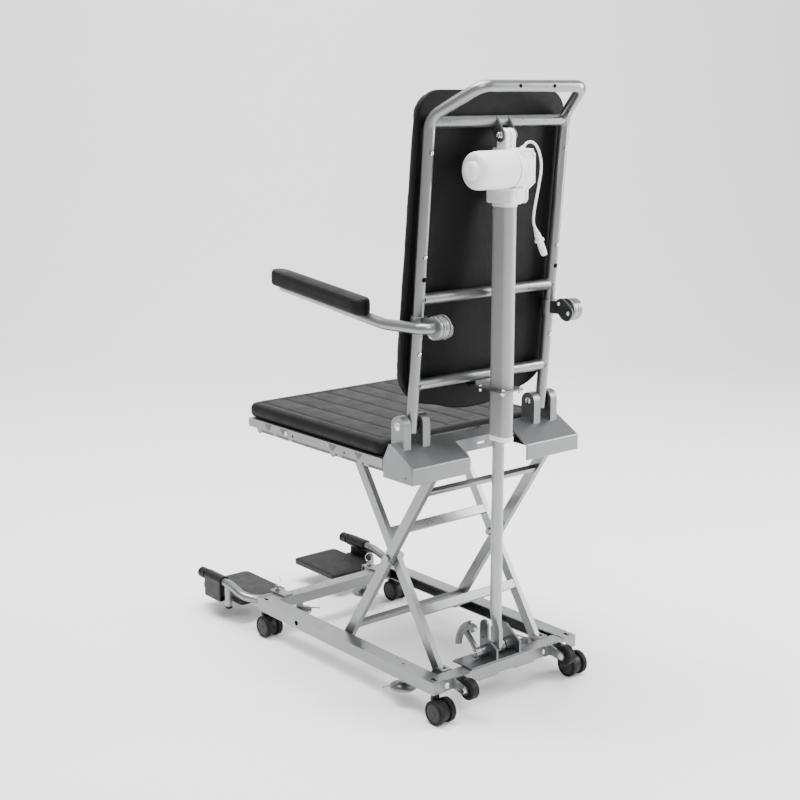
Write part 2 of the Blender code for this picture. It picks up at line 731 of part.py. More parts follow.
def cross_bar(name, low, high, share, tall, deep, half, face):
    """A bar between two arms, this share of the way up, flush with the arm's upper face."""
    along = Vector((0, high[0] - low[0], high[1] - low[1])).normalized()
    across = Vector((0, face * abs(along.z), face * along.y * -face)).normalized()
    if across.z < 0:
        across = -across
    middle = Vector((0, *low)) + Vector((0, high[0] - low[0], high[1] - low[1])) * share
    middle += across * (ARM_WIDTH / 2 - deep / 2)
    form = bmesh.new()
    bmesh.ops.create_cube(form, size=1.0)
    bmesh.ops.scale(form, vec=(2 * half, deep, tall), verts=form.verts)
    turn = Vector((0, 0, 1)).rotation_difference(along).to_matrix().to_4x4()
    bmesh.ops.transform(form, matrix=Matrix.Translation(middle) @ turn, verts=form.verts)
    return bevelled(from_bmesh(name, form, "frame"), 0.001, 1)


# ---------------------------------------------------------------- seat
def seat_tray():
    half = SEAT_WIDTH / 2
    rear = CASTING_FRONT - GAP
    tray = box("seat_tray", (-half, SEAT_FRONT, SEAT_LIP_BOTTOM), (half, rear, SEAT_TOP), "frame")
    hollow = box(
        "tray_hollow",
        (-half + SEAT_SHEET, SEAT_FRONT + SEAT_SHEET, SEAT_LIP_BOTTOM - 0.01),
        (half - SEAT_SHEET, CASTING_FRONT + 0.01, SEAT_UNDER),
    )
    cut(tray, hollow)
    holes = []
    for name, side in SIDES:
        for i, y in enumerate((-0.118, 0.060)):
            edge = side * half
            height = SEAT_LIP_BOTTOM + 0.007
            hole = rod_x(f"tray_hole_{name}_{i}", y, height, edge - 0.01, edge + 0.01, 0.0028, sides=12)
            holes.append(hole)
        low, high = span(side, half - SEAT_SHEET, half)
        for i, y in enumerate((-0.243, 0.020, 0.110)):
            tab = slab(
                f"tray_tab_{name}_{i}",
                [(y - 0.010, SEAT_LIP_BOTTOM + 0.002), (y - 0.004, SEAT_LIP_BOTTOM - 0.009)]
                + [(y + 0.004, SEAT_LIP_BOTTOM - 0.009), (y + 0.010, SEAT_LIP_BOTTOM + 0.002)],
                "X",
                low,
                high,
            )
            join(tray, tab)
    cut(tray, *holes)


def seat_channel(name, side):
    """The channel under the seat that the inner frame's glide runs in."""
    low, high = span(side, RAIL_INNER, RAIL_INNER + 0.034)
    slot_low, slot_high = span(side, RAIL_INNER - 0.01, RAIL_INNER + 0.0315)
    bottom, top = TOP_Z - GLIDE_SEAT - 0.003, SEAT_UNDER - GAP
    front, rear = SEAT_FRONT + 0.006, CASTING_FRONT - 0.004
    channel = box(f"seat_channel_{name}", (low, front, bottom), (high, rear, top), "frame")
    slot = box(
        f"seat_slot_{name}",
        (slot_low, front - 0.01, TOP_Z - GLIDE_SEAT - 0.0005),
        (slot_high, rear + 0.01, TOP_Z + GLIDE_SEAT + 0.0005),
    )
    return cut(channel, slot)


def casting_outline(inset, bottom, rear):
    """Side profile of the rear cover, its wall inset by this much, ending at the rear given."""
    crest_y, crest_z = CASTING_CREST
    drop = inset * math.hypot(1, COVER_SLOPE)
    outline = [(CASTING_FRONT + inset, bottom), (CASTING_FRONT + inset, SEAT_TOP)]
    outline += [(crest_y + inset - 0.002, crest_z - drop - 0.002 + COVER_SLOPE * inset)]
    outline += [(crest_y + inset + 0.002, crest_z - drop + COVER_SLOPE * (inset + 0.002))]
    outline += [(rear, crest_z - drop + COVER_SLOPE * (rear - crest_y)), (rear, bottom)]
    return outline


def seat_rear():
    """The cast rear beam: sloping covers either side of the actuator's notch, with the backrest's ears."""
    half = SEAT_WIDTH / 2
    wall = CASTING_WALL
    casting = slab("seat_rear", casting_outline(0, CASTING_BOTTOM, CASTING_REAR), "X", -half, half, "frame")
    bevelled(casting, 0.0015, 1, 20)
    hollow = slab(
        "cover_hollow", casting_outline(wall, 0.46, CASTING_REAR - wall), "X", -half + wall, half - wall
    )
    # The covers are open towards the notch; only the wall across its front stays.
    notch_edge = NOTCH_HALF_WIDTH - 0.001
    cut(hollow, box("notch_wall", (-notch_edge, NOTCH_FRONT - wall, 0.4), (notch_edge, 0.35, 0.6)))
    open_top = (half - wall, CASTING_FRONT + 0.01, SEAT_UNDER - 0.001)
    open_front = box("open_front", (-half + wall, 0.15, 0.45), open_top)
    arch = box("centre_arch", (-NOTCH_HALF_WIDTH, 0.14, 0.40), (NOTCH_HALF_WIDTH, 0.36, NOTCH_BOTTOM))
    notch = box("rear_notch", (-NOTCH_HALF_WIDTH, NOTCH_FRONT, 0.41), (NOTCH_HALF_WIDTH, 0.35, 0.61))
    top_slot = box("top_slot", (-0.011, 0.200, 0.535), (0.011, 0.206, 0.560))
    rear_slot = box("rear_slot", (-0.004, NOTCH_FRONT - 0.01, 0.520), (0.018, NOTCH_FRONT + 0.01, 0.526))
    cut(casting, hollow, open_front, arch, notch, top_slot, rear_slot)
    for name, side in SIDES:
        boss_low, boss_high = span(side, OUTER_ARM_X + ARM_THICK / 2 + GAP, half - 0.001)
        pin_low, pin_high = span(side, OUTER_ARM_X - 0.012, OUTER_ARM_X + 0.012)
        head_low, head_high = span(side, OUTER_ARM_X - 0.0125, OUTER_ARM_X - ARM_THICK / 2 - GAP)
        join(
            casting,
            rod_x(f"seat_boss_{name}", PIVOT_Y, TOP_Z, boss_low, boss_high, 0.0085, sides=16),
            rod_x(f"seat_pin_{name}", PIVOT_Y, TOP_Z, pin_low, pin_high, PIN),
            rod_x(f"seat_pin_head_{name}", PIVOT_Y, TOP_Z, head_low, head_high, 0.0085, sides=16),
        )
        for place, inner in (("in", BACK_X - 0.0151 - EAR_THICK), ("out", BACK_X + 0.0151)):
            low, high = span(side, inner, inner + EAR_THICK)
            join(casting, ear(f"ear_{place}_{name}", low, high))
        hole_low, hole_high = span(side, half - 0.003, half + 0.01)
        cut(casting, rod_x(f"cover_hole_{name}", PIVOT_Y, TOP_Z, hole_low, hole_high, 0.0022, sides=12))
    return casting


def ear(name, low, high):
    crest_y, crest_z = CASTING_CREST
    front, rear = HINGE_Y - EAR_RADIUS, HINGE_Y + EAR_RADIUS
    sink = 0.003
    outline = arc((HINGE_Y, HINGE_Z), EAR_RADIUS, 0, 180, 12)
    outline += [(front, crest_z - 0.028), (crest_y, crest_z - sink)]
    outline += [(rear, crest_z - sink + COVER_SLOPE * (rear - crest_y))]
    return slab(name, outline, "X", low, high)


def seat_cushion():
    half = SEAT_WIDTH / 2 - 0.006
    low = (-half, SEAT_FRONT - 0.008, SEAT_TOP + GAP)
    high = (half, CASTING_FRONT - 0.004, SEAT_TOP + 0.036)
    cushion = box("seat_cushion", low, high, "cushion")
    form = bmesh.new()
    form.from_mesh(cushion.data)
    bmesh.ops.subdivide_edges(form, edges=form.edges, cuts=5, use_grid_fill=True)
    for vertex in form.verts:
        if vertex.co.z > SEAT_TOP + 0.030:
            u = vertex.co.x / half
            v = (vertex.co.y - (low[1] + high[1]) / 2) / ((high[1] - low[1]) / 2)
            vertex.co.z += 0.006 * (1 - u * u) * (1 - v * v)
    form.to_mesh(cushion.data)
    form.free()
    return bevelled(cushion, 0.009, 2, 50)


# ---------------------------------------------------------------- backrest
def back_route():
    """Centre line of the bent tube: up one side, round the push handle and down the other."""
    foot_z = HINGE_Z - 0.021
    knee_y = back_y(KNEE_Z)
    handle_y = knee_y + HANDLE_OUT
    corners = [
        (BACK_X, back_y(foot_z), foot_z),
        (BACK_X, knee_y, KNEE_Z),
        (BACK_X - HANDLE_INSET, handle_y, HANDLE_Z),
        (HANDLE_INSET - BACK_X, handle_y, HANDLE_Z),
        (-BACK_X, knee_y, KNEE_Z),
        (-BACK_X, back_y(foot_z), foot_z),
    ]
    return bent(corners, (0.040, HANDLE_CORNER, HANDLE_CORNER, 0.040))


def back_frame():
    """One bent tube: both uprights, the rearward knees and the push handle."""
    frame = tube("back_frame", back_route(), TUBE, "frame")
    for name, side in SIDES:
        low, high = span(side, BACK_X - 0.0148, BACK_X + 0.0148)
        join(frame, rod_x(f"hinge_bush_{name}", HINGE_Y, HINGE_Z, low, high, 0.0095, sides=20))
    return frame


def cross_tube(name, z):
    """A tube between the uprights, its ends coped to fit round them."""
    half = BACK_X - 0.004
    bar = rod_x(name, back_y(z), z, -half, half, TUBE, "frame", 20)
    round_upright = (TUBE + GAP) / math.cos(math.pi / 16)
    return cut(bar, tube(f"{name}_cope", back_route(), round_upright))


def top_cross():
    """The top cross tube, with the clevis that the actuator hangs on."""
    bar = cross_tube("cross_tube_top", KNEE_Z - 0.008)
    start = (back_y(KNEE_Z) + 0.001, KNEE_Z - 0.010)
    for i, low in enumerate((-0.0175, 0.0135)):
        join(bar, slab(f"clevis_{i}", stadium(start, (CLEVIS_Y, CLEVIS_Z), 0.0125), "X", low, low + 0.004))
    return join(bar, rod_x("clevis_pin", CLEVIS_Y, CLEVIS_Z, -0.020, 0.020, 0.004))


def low_cross():
    """The lower cross tube, with the plate that guides the actuator's tube."""
    bar = cross_tube("cross_tube_low", CROSS_LOW_Z)
    plate_top = CROSS_LOW_Z - TUBE - 0.006
    rear = ACTUATOR_Y + TUBE_Y / 2 + 0.008
    plate = box("guide_plate", (-0.030, 0.202, plate_top - 0.004), (0.030, rear, plate_top))
    middle = back_y(CROSS_LOW_Z)
    stand_foot = (-0.024, middle - 0.006, plate_top - 0.001)
    stand = box("guide_stand", stand_foot, (0.024, middle + 0.006, CROSS_LOW_Z))
    hole = slab("guide_hole", tube_outline(GAP), "Z", plate_top - 0.02, plate_top + 0.02)
    join(bar, plate, stand)
    return cut(bar, hole)


def tube_outline(grow):
    return rounded_rectangle(
        (-TUBE_X / 2 - grow, ACTUATOR_Y - TUBE_Y / 2 - grow),
        (TUBE_X / 2 + grow, ACTUATOR_Y + TUBE_Y / 2 + grow),
        TUBE_CORNER + grow,
        6,
    )


def back_cushion():
    """A padded panel held just in front of the uprights, its lower edge drawn down in the middle."""
    right = [(0, 0.590), (0.055, 0.595), (0.103, 0.608), (0.150, 0.620), (0.182, 0.645)]
    right += [(CUSHION_HALF, 0.700), (CUSHION_HALF - 0.006, CUSHION_TOP - 0.055)]
    corner = arc((CUSHION_HALF - 0.056, CUSHION_TOP - 0.050), 0.050, 0, 90, 5)
    right += corner[1:]
    outline = right + [(-x, z) for x, z in reversed(right[1:])]
    # Drawn upright, then leant back like the tubes and pushed forward of them.
    panel = slab("back_cushion", outline, "Y", -CUSHION_THICK, 0, "cushion")
    lean = Matrix(((1, 0, 0, 0), (0, 1, BACK_LEAN, 0), (0, 0, 1, 0), (0, 0, 0, 1)))
    ahead = back_y(0) - (TUBE + CUSHION_STANDOFF) * math.hypot(1, BACK_LEAN)
    panel.data.transform(Matrix.Translation((0, ahead, 0)) @ lean)
    return bevelled(panel, 0.010, 2, 50)


# ---------------------------------------------------------------- actuator
def actuator_tube():
    """The tube that the rod slides in, with its end collar."""
    body = slab("actuator_tube", tube_outline(0), "Z", TUBE_BOTTOM, GEAR_BOTTOM - GAP, "tube")
    collar = slab("end_collar", tube_outline(0.0015), "Z", TUBE_BOTTOM - 0.009, TUBE_BOTTOM + 0.001)
    bore_top = (0, ROD_Y, GEAR_BOTTOM - 0.015)
    bore = rod("rod_bore", (0, ROD_Y, TUBE_BOTTOM - 0.02), bore_top, ROD + GAP)
    join(body, collar)
    return cut(body, bore)


def gearbox():
    block_top = (MOTOR_START, 0.317, MOTOR_Z - 0.007)
    lower = box("gearbox", (-MOTOR_START, 0.244, GEAR_BOTTOM), block_top, "housing", 0.006)
    upper_foot = (-MOTOR_START, 0.246, MOTOR_Z - 0.030)
    upper = box("gear_upper", upper_foot, (0.012, 0.336, GEAR_TOP), bevel=0.009)
    flange = rod_x("motor_flange", MOTOR_Y, MOTOR_Z, -0.014, MOTOR_START, MOTOR + 0.0015, sides=32)
    lug_outline = stadium((CLEVIS_Y, GEAR_TOP - 0.010), (CLEVIS_Y, CLEVIS_Z), 0.0135)
    lug = slab("lug", lug_outline, "X", -LUG_HALF, LUG_HALF)
    slot = box("lug_slot", (-0.0015, 0.2, GEAR_TOP + 0.003), (0.0015, 0.35, CLEVIS_Z + 0.03))
    eye = rod_x("lug_eye", CLEVIS_Y, CLEVIS_Z, -0.03, 0.03, 0.004 + GAP)
    gland = rod("gland", GLAND_FOOT, GLAND_TIP, 0.0060, end_radius=0.0042, sides=16)
    join(lower, upper, flange, lug, gland)
    return cut(lower, slot, eye)


def motor():
    """A turned can along X, with a stepped end cap."""
    low = MOTOR_START + GAP
    profile = (
        (low, MOTOR),
        (MOTOR_END - 0.018, MOTOR),
        (MOTOR_END - 0.017, MOTOR - 0.0015),
        (MOTOR_END - 0.010, MOTOR - 0.0025),
        (MOTOR_END - 0.003, MOTOR - 0.0100),
        (MOTOR_END - 0.001, MOTOR - 0.0130),
        (MOTOR_END - 0.001, 0.0175),
        (MOTOR_END + 0.006, 0.0160),
        (MOTOR_END + 0.008, 0.0130),
    )
    form = bmesh.new()
    points = [form.verts.new((0, 0, low))]
    points += [form.verts.new((radius, 0, along)) for along, radius in profile]
    points += [form.verts.new((0, 0, profile[-1][0]))]
    for first, second in zip(points, points[1:]):
        form.edges.new((first, second))
    bmesh.ops.spin(
        form, geom=form.verts[:] + form.edges[:], cent=(0, 0, 0), axis=(0, 0, 1), angle=math.tau, steps=28
    )
    bmesh.ops.remove_doubles(form, verts=form.verts, dist=0.00001)
    bmesh.ops.recalc_face_normals(form, faces=form.faces)
    along_x = Matrix.Translation((0, MOTOR_Y, MOTOR_Z)) @ Matrix.Rotation(math.radians(90), 4, "Y")
    bmesh.ops.transform(form, matrix=along_x, verts=form.verts)
    return rounded_off(from_bmesh("motor", form, "housing"), 30)


def actuator_rod():
    """The rod that stands on the base, pressed flat at its foot where the latch shaft passes."""
    # The neck starts under the height that the tube's end comes down to when the seat is at its lowest.
    upper = rod("actuator_rod", (0, ROD_Y, NECK_TOP), (0, ROD_Y, ROD_TOP), ROD, "rod")
    form = bmesh.new()
    depth = NECK_TOP + 0.0001 - NECK_LOW
    bmesh.ops.create_cone(form, cap_ends=True, segments=24, radius1=ROD, radius2=ROD, depth=depth)
    for vertex in form.verts:
        if vertex.co.z < 0:
            vertex.co.x *= 0.42
            vertex.co.y = vertex.co.y * 1.10 + (SHAFT_Y - ROD_Y)
    bmesh.ops.translate(form, vec=(0, ROD_Y, NECK_LOW + depth / 2), verts=form.verts)
    neck = rounded_off(from_bmesh("rod_neck", form))
    blade_outline = stadium((SHAFT_Y, SHAFT_Z), (SHAFT_Y, NECK_LOW + 0.001), 0.0128)
    blade = slab("rod_blade", blade_outline, "X", -BLADE_HALF, BLADE_HALF)
    eye = rod_x("rod_eye", SHAFT_Y, SHAFT_Z, -0.02, 0.02, SHAFT + GAP)
    join(upper, neck, blade)
    return cut(upper, eye)


# ---------------------------------------------------------------- base latch
def latch_base():
    """The mount on the rear beam: a plate, two lugs and the shaft that the rod's foot sits on."""
    low_z = BEAM_TOP + GAP
    top_z = low_z + PLATE
    plate = box("latch_base", (-0.046, 0.246, low_z), (0.098, BASE_END - 0.001, top_z), "frame")
    tall = [(0.252, top_z - 0.001), (0.252, 0.150)] + arc((0.264, 0.150), 0.012, 180, 0, 8)
    tall += [(0.276, 0.122), (0.303, 0.108), (0.303, top_z - 0.001)]
    low = [(0.246, top_z - 0.001), (0.246, 0.138), (0.262, 0.138), (0.303, 0.110), (0.303, top_z - 0.001)]
    join(
        plate,
        slab("lug_tall", tall, "X", 0.0240, 0.0290),
        slab("lug_low", low, "X", -0.0400, -0.0350),
        rod_x("latch_shaft", SHAFT_Y, SHAFT_Z, -0.038, 0.0660, SHAFT),
        rod_x("shaft_spacer", SHAFT_Y, SHAFT_Z, 0.0270, 0.0480, 0.0105, sides=16),
        rod_x("shaft_spacer_mid", SHAFT_Y, SHAFT_Z, 0.0052, 0.0250, 0.0095, sides=16),
        rod_x("shaft_disc", SHAFT_Y, SHAFT_Z, -0.0120, -0.0052, 0.0145, sides=20),
        rod_x("shaft_disc_far", SHAFT_Y, SHAFT_Z, -0.0360, -0.0180, 0.0120, sides=20),
        rod_x("shaft_head", SHAFT_Y, SHAFT_Z, 0.0615, 0.0660, 0.0080, sides=6),
    )
    bolts = rod_x("lug_bolt", 0.264, 0.148, 0.0270, 0.0330, 0.0055, sides=6)
    join(plate, bolts)
    return cut(plate, rod_x("lug_hole", 0.262, 0.124, 0.0, 0.0345, 0.0028, sides=12))


def latch_lever():
    """A sickle hook on the shaft, that swings up and back to free the rod's foot."""
    centre = (SHAFT_Y, SHAFT_Z)
    inner = HOOK_RADIUS - 0.014
    low, high = 0.0485, 0.0545
    sickle = arc(centre, HOOK_RADIUS, 112, 182, 14) + arc(centre, inner, 178, 122, 12)
    hook = slab("latch_lever", sickle, "X", low, high, "dark_steel")
    tip = (centre[0] - 0.040, centre[1] + 0.037)
    spoke = slab("lever_spoke", stadium(centre, tip, 0.0060), "X", low, high)
    claw = slab(
        "lever_claw",
        arc((centre[0] - 0.024, centre[1] + 0.034), 0.019, 30, 200, 10)
        + arc((centre[0] - 0.026, centre[1] + 0.028), 0.012, 185, 45, 8),
        "X",
        low - 0.006,
        high,
    )
    hub = rod_x("lever_hub", *centre, low, high + 0.0065, 0.0105)
    bore = rod_x("lever_bore", *centre, low - 0.02, high + 0.02, SHAFT + RUNNING_GAP)
    join(hook, spoke, claw, hub)
    cut(hook, bore)
    moves_with(pivot("latch_pivot", (0, *centre), ORIGIN), hook)


# ---------------------------------------------------------------- footrests
def footrest(name, side):
    """A tube plugged into the front beam, with a plate that flips up about it."""
    x = side * STIRRUP_X
    route = bent(
        (
            (x, -0.520, STIRRUP_Z),
            (x, -0.400, STIRRUP_Z),
            (x, STIRRUP_SOCKET_Y, STIRRUP_SOCKET_Z),
            (side * (LOCK_X - 0.010), STIRRUP_SOCKET_Y, STIRRUP_SOCKET_Z),
        ),
        (0.060, 0.045),
    )
    stirrup = tube(f"footrest_tube_{name}", route, STIRRUP_TUBE, "frame")
    stub_y = -0.410
    stub = rod(f"footrest_stub_{name}", (x, stub_y, 0.034), (x, stub_y, STIRRUP_Z), 0.0085, sides=16)
    cap_end = (x, -0.500, STIRRUP_Z)
    cap = rod(f"footrest_cap_{name}", (x, -0.526, STIRRUP_Z), cap_end, STIRRUP_TUBE + 0.0030, sides=20)
    bevelled(cap, 0.002, 1)
    join(stirrup, stub, cap)
    lock = rod(
        f"tube_lock_bore_{name}",
        (side * LOCK_X, STIRRUP_SOCKET_Y, 0),
        (side * LOCK_X, STIRRUP_SOCKET_Y, 0.2),
        LOCK_PIN + RUNNING_GAP,
    )
    cut(stirrup, lock)
    footplate(name, side)
    lock_pin(name, side)


def footplate(name, side):
    x = side * STIRRUP_X
    sleeve_low, sleeve_high = -0.494, -0.426
    ends = (x, sleeve_low, STIRRUP_Z), (x, sleeve_high, STIRRUP_Z)
    sleeve = rod(f"footplate_{name}", *ends, STIRRUP_TUBE + 0.0045, "black", 28)
    low, high = span(side, STIRRUP_X + 0.0005, STIRRUP_X + 0.0135)
    flange = box(f"plate_flange_{name}", (low, sleeve_low, PLATE_Z[0]), (high, sleeve_high, STIRRUP_Z))
    inner, outer = STIRRUP_X - 0.141, STIRRUP_X + 0.0135
    middle = sum(PLATE_Y) / 2
    shoulder = STIRRUP_X - 0.0125
    outline = [(outer, sleeve_low + 0.001), (outer, sleeve_high - 0.001), (shoulder, sleeve_high - 0.001)]
    outline += [(shoulder, PLATE_Y[1] - 0.010), (STIRRUP_X - 0.024, PLATE_Y[1])]
    outline += [(inner + 0.012, PLATE_Y[1]), (inner + 0.004, PLATE_Y[1] - 0.008)]
    outline += [(inner, middle + 0.030), (inner, middle - 0.030), (inner + 0.004, PLATE_Y[0] + 0.008)]
    outline += [(inner + 0.012, PLATE_Y[0]), (STIRRUP_X - 0.024, PLATE_Y[0])]
    outline += [(shoulder, PLATE_Y[0] + 0.012), (shoulder, sleeve_low + 0.001)]
    plate = slab(f"plate_{name}", [(side * u, v) for u, v in outline], "Z", *PLATE_Z)
    bevelled(plate, 0.002, 1, 30)
    bore_ends = (x, -0.6, STIRRUP_Z), (x, -0.3, STIRRUP_Z)
    bore = rod(f"sleeve_bore_{name}", *bore_ends, STIRRUP_TUBE + GAP, sides=28)
    join(sleeve, flange, plate)
    cut(sleeve, bore)
    moves_with(pivot(f"footplate_pivot_{name}", (x, sum(PLATE_Y) / 2, STIRRUP_Z), ORIGIN), sleeve)


def lock_pin(name, side):
    """The pull pin that holds a footrest tube in its bracket, with a collar and a knob."""
    x, y = side * LOCK_X, STIRRUP_SOCKET_Y
    foot = (x, y, STIRRUP_SOCKET_Z - 0.006)
    pin = rod(f"lock_pin_{name}", foot, (x, y, SOCKET_TOP + 0.010), LOCK_PIN, "zinc")
    knob = rod(f"lock_knob_{name}", (x, y, SOCKET_TOP + GAP), (x, y, SOCKET_TOP + 0.005), 0.0065, sides=20)
    join(pin, knob)
    moves_with(pivot(f"lock_slide_{name}", (x, y, BEAM_TOP), ORIGIN), pin)


# ---------------------------------------------------------------- armrests
def armrest(name, side):
    """A clamp on the upright carries a hub, and the padded arm swings up about it."""
    z = ARM_PIVOT_Z
    upright_y = back_y(z)
    low, high = span(side, 0.1520, 0.1770)
    bracket = rod_x(f"arm_bracket_{name}", ARM_PIVOT_Y, z, low, high, HUB_RADIUS, "frame", 32)
    web_low, web_high = span(side, 0.1640, 0.1770)
    web = box(f"arm_web_{name}", (web_low, upright_y, z - 0.013), (web_high, ARM_PIVOT_Y, z + 0.015))
    lean = Vector((0, BACK_LEAN, 1)).normalized()
    middle = Vector((side * BACK_X, upright_y, z))
    ring = rod(f"arm_clamp_{name}", middle - lean * 0.015, middle + lean * 0.015, TUBE + 0.0038)
    bore = rod(f"clamp_bore_{name}", middle - lean * 0.05, middle + lean * 0.05, TUBE + GAP, sides=32)
    bolt_low, bolt_high = span(side, 0.1500, 0.1960)
    bolt = rod_x(f"arm_bolt_{name}", ARM_PIVOT_Y, z, bolt_low, bolt_high, PIN)
    join(bracket, web, ring, bolt)
    cut(bracket, bore)
    arm_low, arm_high = span(side, 0.1770 + GAP, 0.1900)
    hub = rod_x(f"arm_hub_{name}", ARM_PIVOT_Y, z, arm_low, arm_high, HUB_RADIUS, sides=32)
    x = side * ARMREST_X
    route = bent(
        (
            (side * 0.1850, ARM_PIVOT_Y, z),
            (x, ARM_PIVOT_Y, z),
            (x, 0.170, 0.7775),
            (x, -0.165, 0.8150),
        ),
        (0.022, 0.120),
    )
    arm = tube(f"armrest_tube_{name}", route, TUBE, "frame")
    join(arm, hub)
    cut(arm, rod_x(f"hub_bore_{name}", ARM_PIVOT_Y, z, *span(side, 0.14, 0.1965), PIN + RUNNING_GAP))
    pad = armrest_pad(name, side)
    moves_with(pivot(f"armrest_pivot_{name}", (0, ARM_PIVOT_Y, z), ORIGIN), arm, pad)


def armrest_pad(name, side):
    """The pad lies along the tube's slope, on its top."""
    front, rear = (-0.178, 0.8290), (0.126, 0.7965)
    slope = (rear[1] - front[1]) / (rear[0] - front[0])
    x = side * (ARMREST_X + PAD_OUT)
    pad = slab(
        f"armrest_pad_{name}",
        rounded_rectangle((x - PAD_WIDTH / 2, front[0]), (x + PAD_WIDTH / 2, rear[0]), 0.020, 5),
        "Z",
        0,
        PAD_HEIGHT,
        "cushion",
    )
    tilt = Matrix(((1, 0, 0, 0), (0, 1, 0, 0), (0, slope, 1, front[1] - slope * front[0]), (0, 0, 0, 1)))
    pad.data.transform(tilt)
    return bevelled(pad, 0.005, 2, 50)


# ---------------------------------------------------------------- cable
def smooth(route, spacing):
    """Points at about this spacing on a smooth curve through the route."""
    points = [Vector(place) for place in route]
    points = [2 * points[0] - points[1]] + points + [2 * points[-1] - points[-2]]
    dense = []
    for a, b, c, d in zip(points, points[1:], points[2:], points[3:]):
        for i in range(20):
            t = i / 20
            curve = (2 * a - 5 * b + 4 * c - d) * t**2 + (3 * b - a - 3 * c + d) * t**3
            dense.append(0.5 * (2 * b + (c - a) * t + curve))
    dense.append(points[-2])
    chosen, walked = [dense[0]], 0.0
    for before, after in zip(dense, dense[1:]):
        walked += (after - before).length
        if walked >= spacing:
            chosen.append(after)
            walked = 0.0
    if (chosen[-1] - dense[-1]).length < spacing / 2:
        chosen.pop()
    return chosen + [dense[-1]]


def cable():
    tube("cable", smooth(CABLE_ROUTE, 0.007), CABLE, "housing", 8)
    end = Vector(CABLE_ROUTE[-1])
    ahead = (end - Vector(CABLE_ROUTE[-2])).normalized()
    start = end + ahead * GAP
    boot = rod("cable_plug", start, start + ahead * 0.014, CABLE + 0.0012, "housing", 16, end_radius=0.0052)
    body = rod("plug_body", start + ahead * 0.012, start + ahead * PLUG_LENGTH, 0.0066, sides=16)
    flange = rod("plug_flange", start + ahead * 0.025, start + ahead * 0.029, 0.0100, sides=16)
    join(boot, body, flange)


# ---------------------------------------------------------------- assembly
for side_name, side_sign in SIDES:
    base_rail(side_name, side_sign)
    pivot_bracket(side_name, side_sign)
    tip_fork(side_name, side_sign)
    tip_wheel(side_name, side_sign)
    footrest(side_name, side_sign)
    seat_channel(side_name, side_sign)
    armrest(side_name, side_sign)
    for end_name, end_sign in (("front", -1), ("rear", 1)):
        caster(f"{end_name}_{side_name}", side_sign * CASTER_X, end_sign * CASTER_Y)
    front_heading, rear_heading = (140, -15) if side_sign > 0 else (100, -80)
    foot(f"front_{side_name}", side_sign * FRONT_FOOT_X, -BASE_END + BEAM_WIDTH / 2, front_heading)
    foot(f"rear_{side_name}", side_sign * (RAIL_INNER + RAIL_WIDTH / 2), REAR_FOOT_Y, rear_heading)

front_beam()
rear_beam()
latch_base()
latch_lever()
base_empty = pivot("lift_pivot", (0, PIVOT_Y, PIVOT_Z), ORIGIN)
centre_empty = pivot("scissor_pivot", CENTRE, base_empty)
scissor(base_empty, centre_empty)
seat_tray()
seat_rear()
seat_cushion()
back_frame()
top_cross()
cross_tube("cross_tube_mid", CROSS_MID_Z)
low_cross()
back_cushion()
actuator_tube()
gearbox()
motor()
actuator_rod()
cable()
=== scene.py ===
"""The looks of the sit-to-stand lift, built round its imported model. Sizes in metres.

Places are written in the base's own frame, as in part.py: the origin lies on the floor at the middle of the
wheeled base, the chair faces -Y and the user's left is +X. place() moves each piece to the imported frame.
"""

import json
import math

import bmesh
import bpy
from mathutils import Matrix, Vector

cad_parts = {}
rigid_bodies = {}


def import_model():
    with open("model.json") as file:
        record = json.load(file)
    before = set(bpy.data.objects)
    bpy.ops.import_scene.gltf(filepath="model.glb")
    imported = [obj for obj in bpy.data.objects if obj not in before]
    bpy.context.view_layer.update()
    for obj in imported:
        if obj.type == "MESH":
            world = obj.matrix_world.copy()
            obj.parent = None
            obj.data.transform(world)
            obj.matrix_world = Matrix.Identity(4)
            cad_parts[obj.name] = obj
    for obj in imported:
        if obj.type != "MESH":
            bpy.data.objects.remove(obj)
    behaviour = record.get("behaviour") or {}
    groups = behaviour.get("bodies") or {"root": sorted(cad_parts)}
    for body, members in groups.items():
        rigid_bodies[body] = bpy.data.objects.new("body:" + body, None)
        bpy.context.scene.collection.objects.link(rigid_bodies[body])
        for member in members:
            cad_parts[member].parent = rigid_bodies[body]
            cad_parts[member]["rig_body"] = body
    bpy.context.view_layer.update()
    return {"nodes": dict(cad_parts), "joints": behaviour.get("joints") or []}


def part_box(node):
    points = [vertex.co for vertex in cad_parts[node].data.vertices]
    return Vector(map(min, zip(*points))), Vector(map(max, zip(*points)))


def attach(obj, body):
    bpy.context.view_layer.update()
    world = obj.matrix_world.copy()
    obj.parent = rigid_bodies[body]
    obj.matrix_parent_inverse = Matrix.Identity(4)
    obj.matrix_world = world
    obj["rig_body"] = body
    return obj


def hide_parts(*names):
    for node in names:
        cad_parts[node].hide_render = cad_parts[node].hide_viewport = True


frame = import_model()

# ---------------------------------------------------------------- sizes read from the frame
RAIL_LOW, RAIL_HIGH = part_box("base_rail_left")
SHIFT = (RAIL_LOW.y + RAIL_HIGH.y) / 2
HALF = RAIL_HIGH.x
RAIL_IN = RAIL_LOW.x
END = RAIL_HIGH.y - SHIFT
RAIL_TOP = RAIL_HIGH.z
RAIL_BOTTOM = RAIL_TOP - 0.026
BEAM_TOP = RAIL_TOP - 0.001
BEAM = 0.032
WALL = 0.0025


def low_high(node):
    """A node's box in the base's frame."""
    low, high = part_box(node)
    return low - Vector((0, SHIFT, 0)), high - Vector((0, SHIFT, 0))


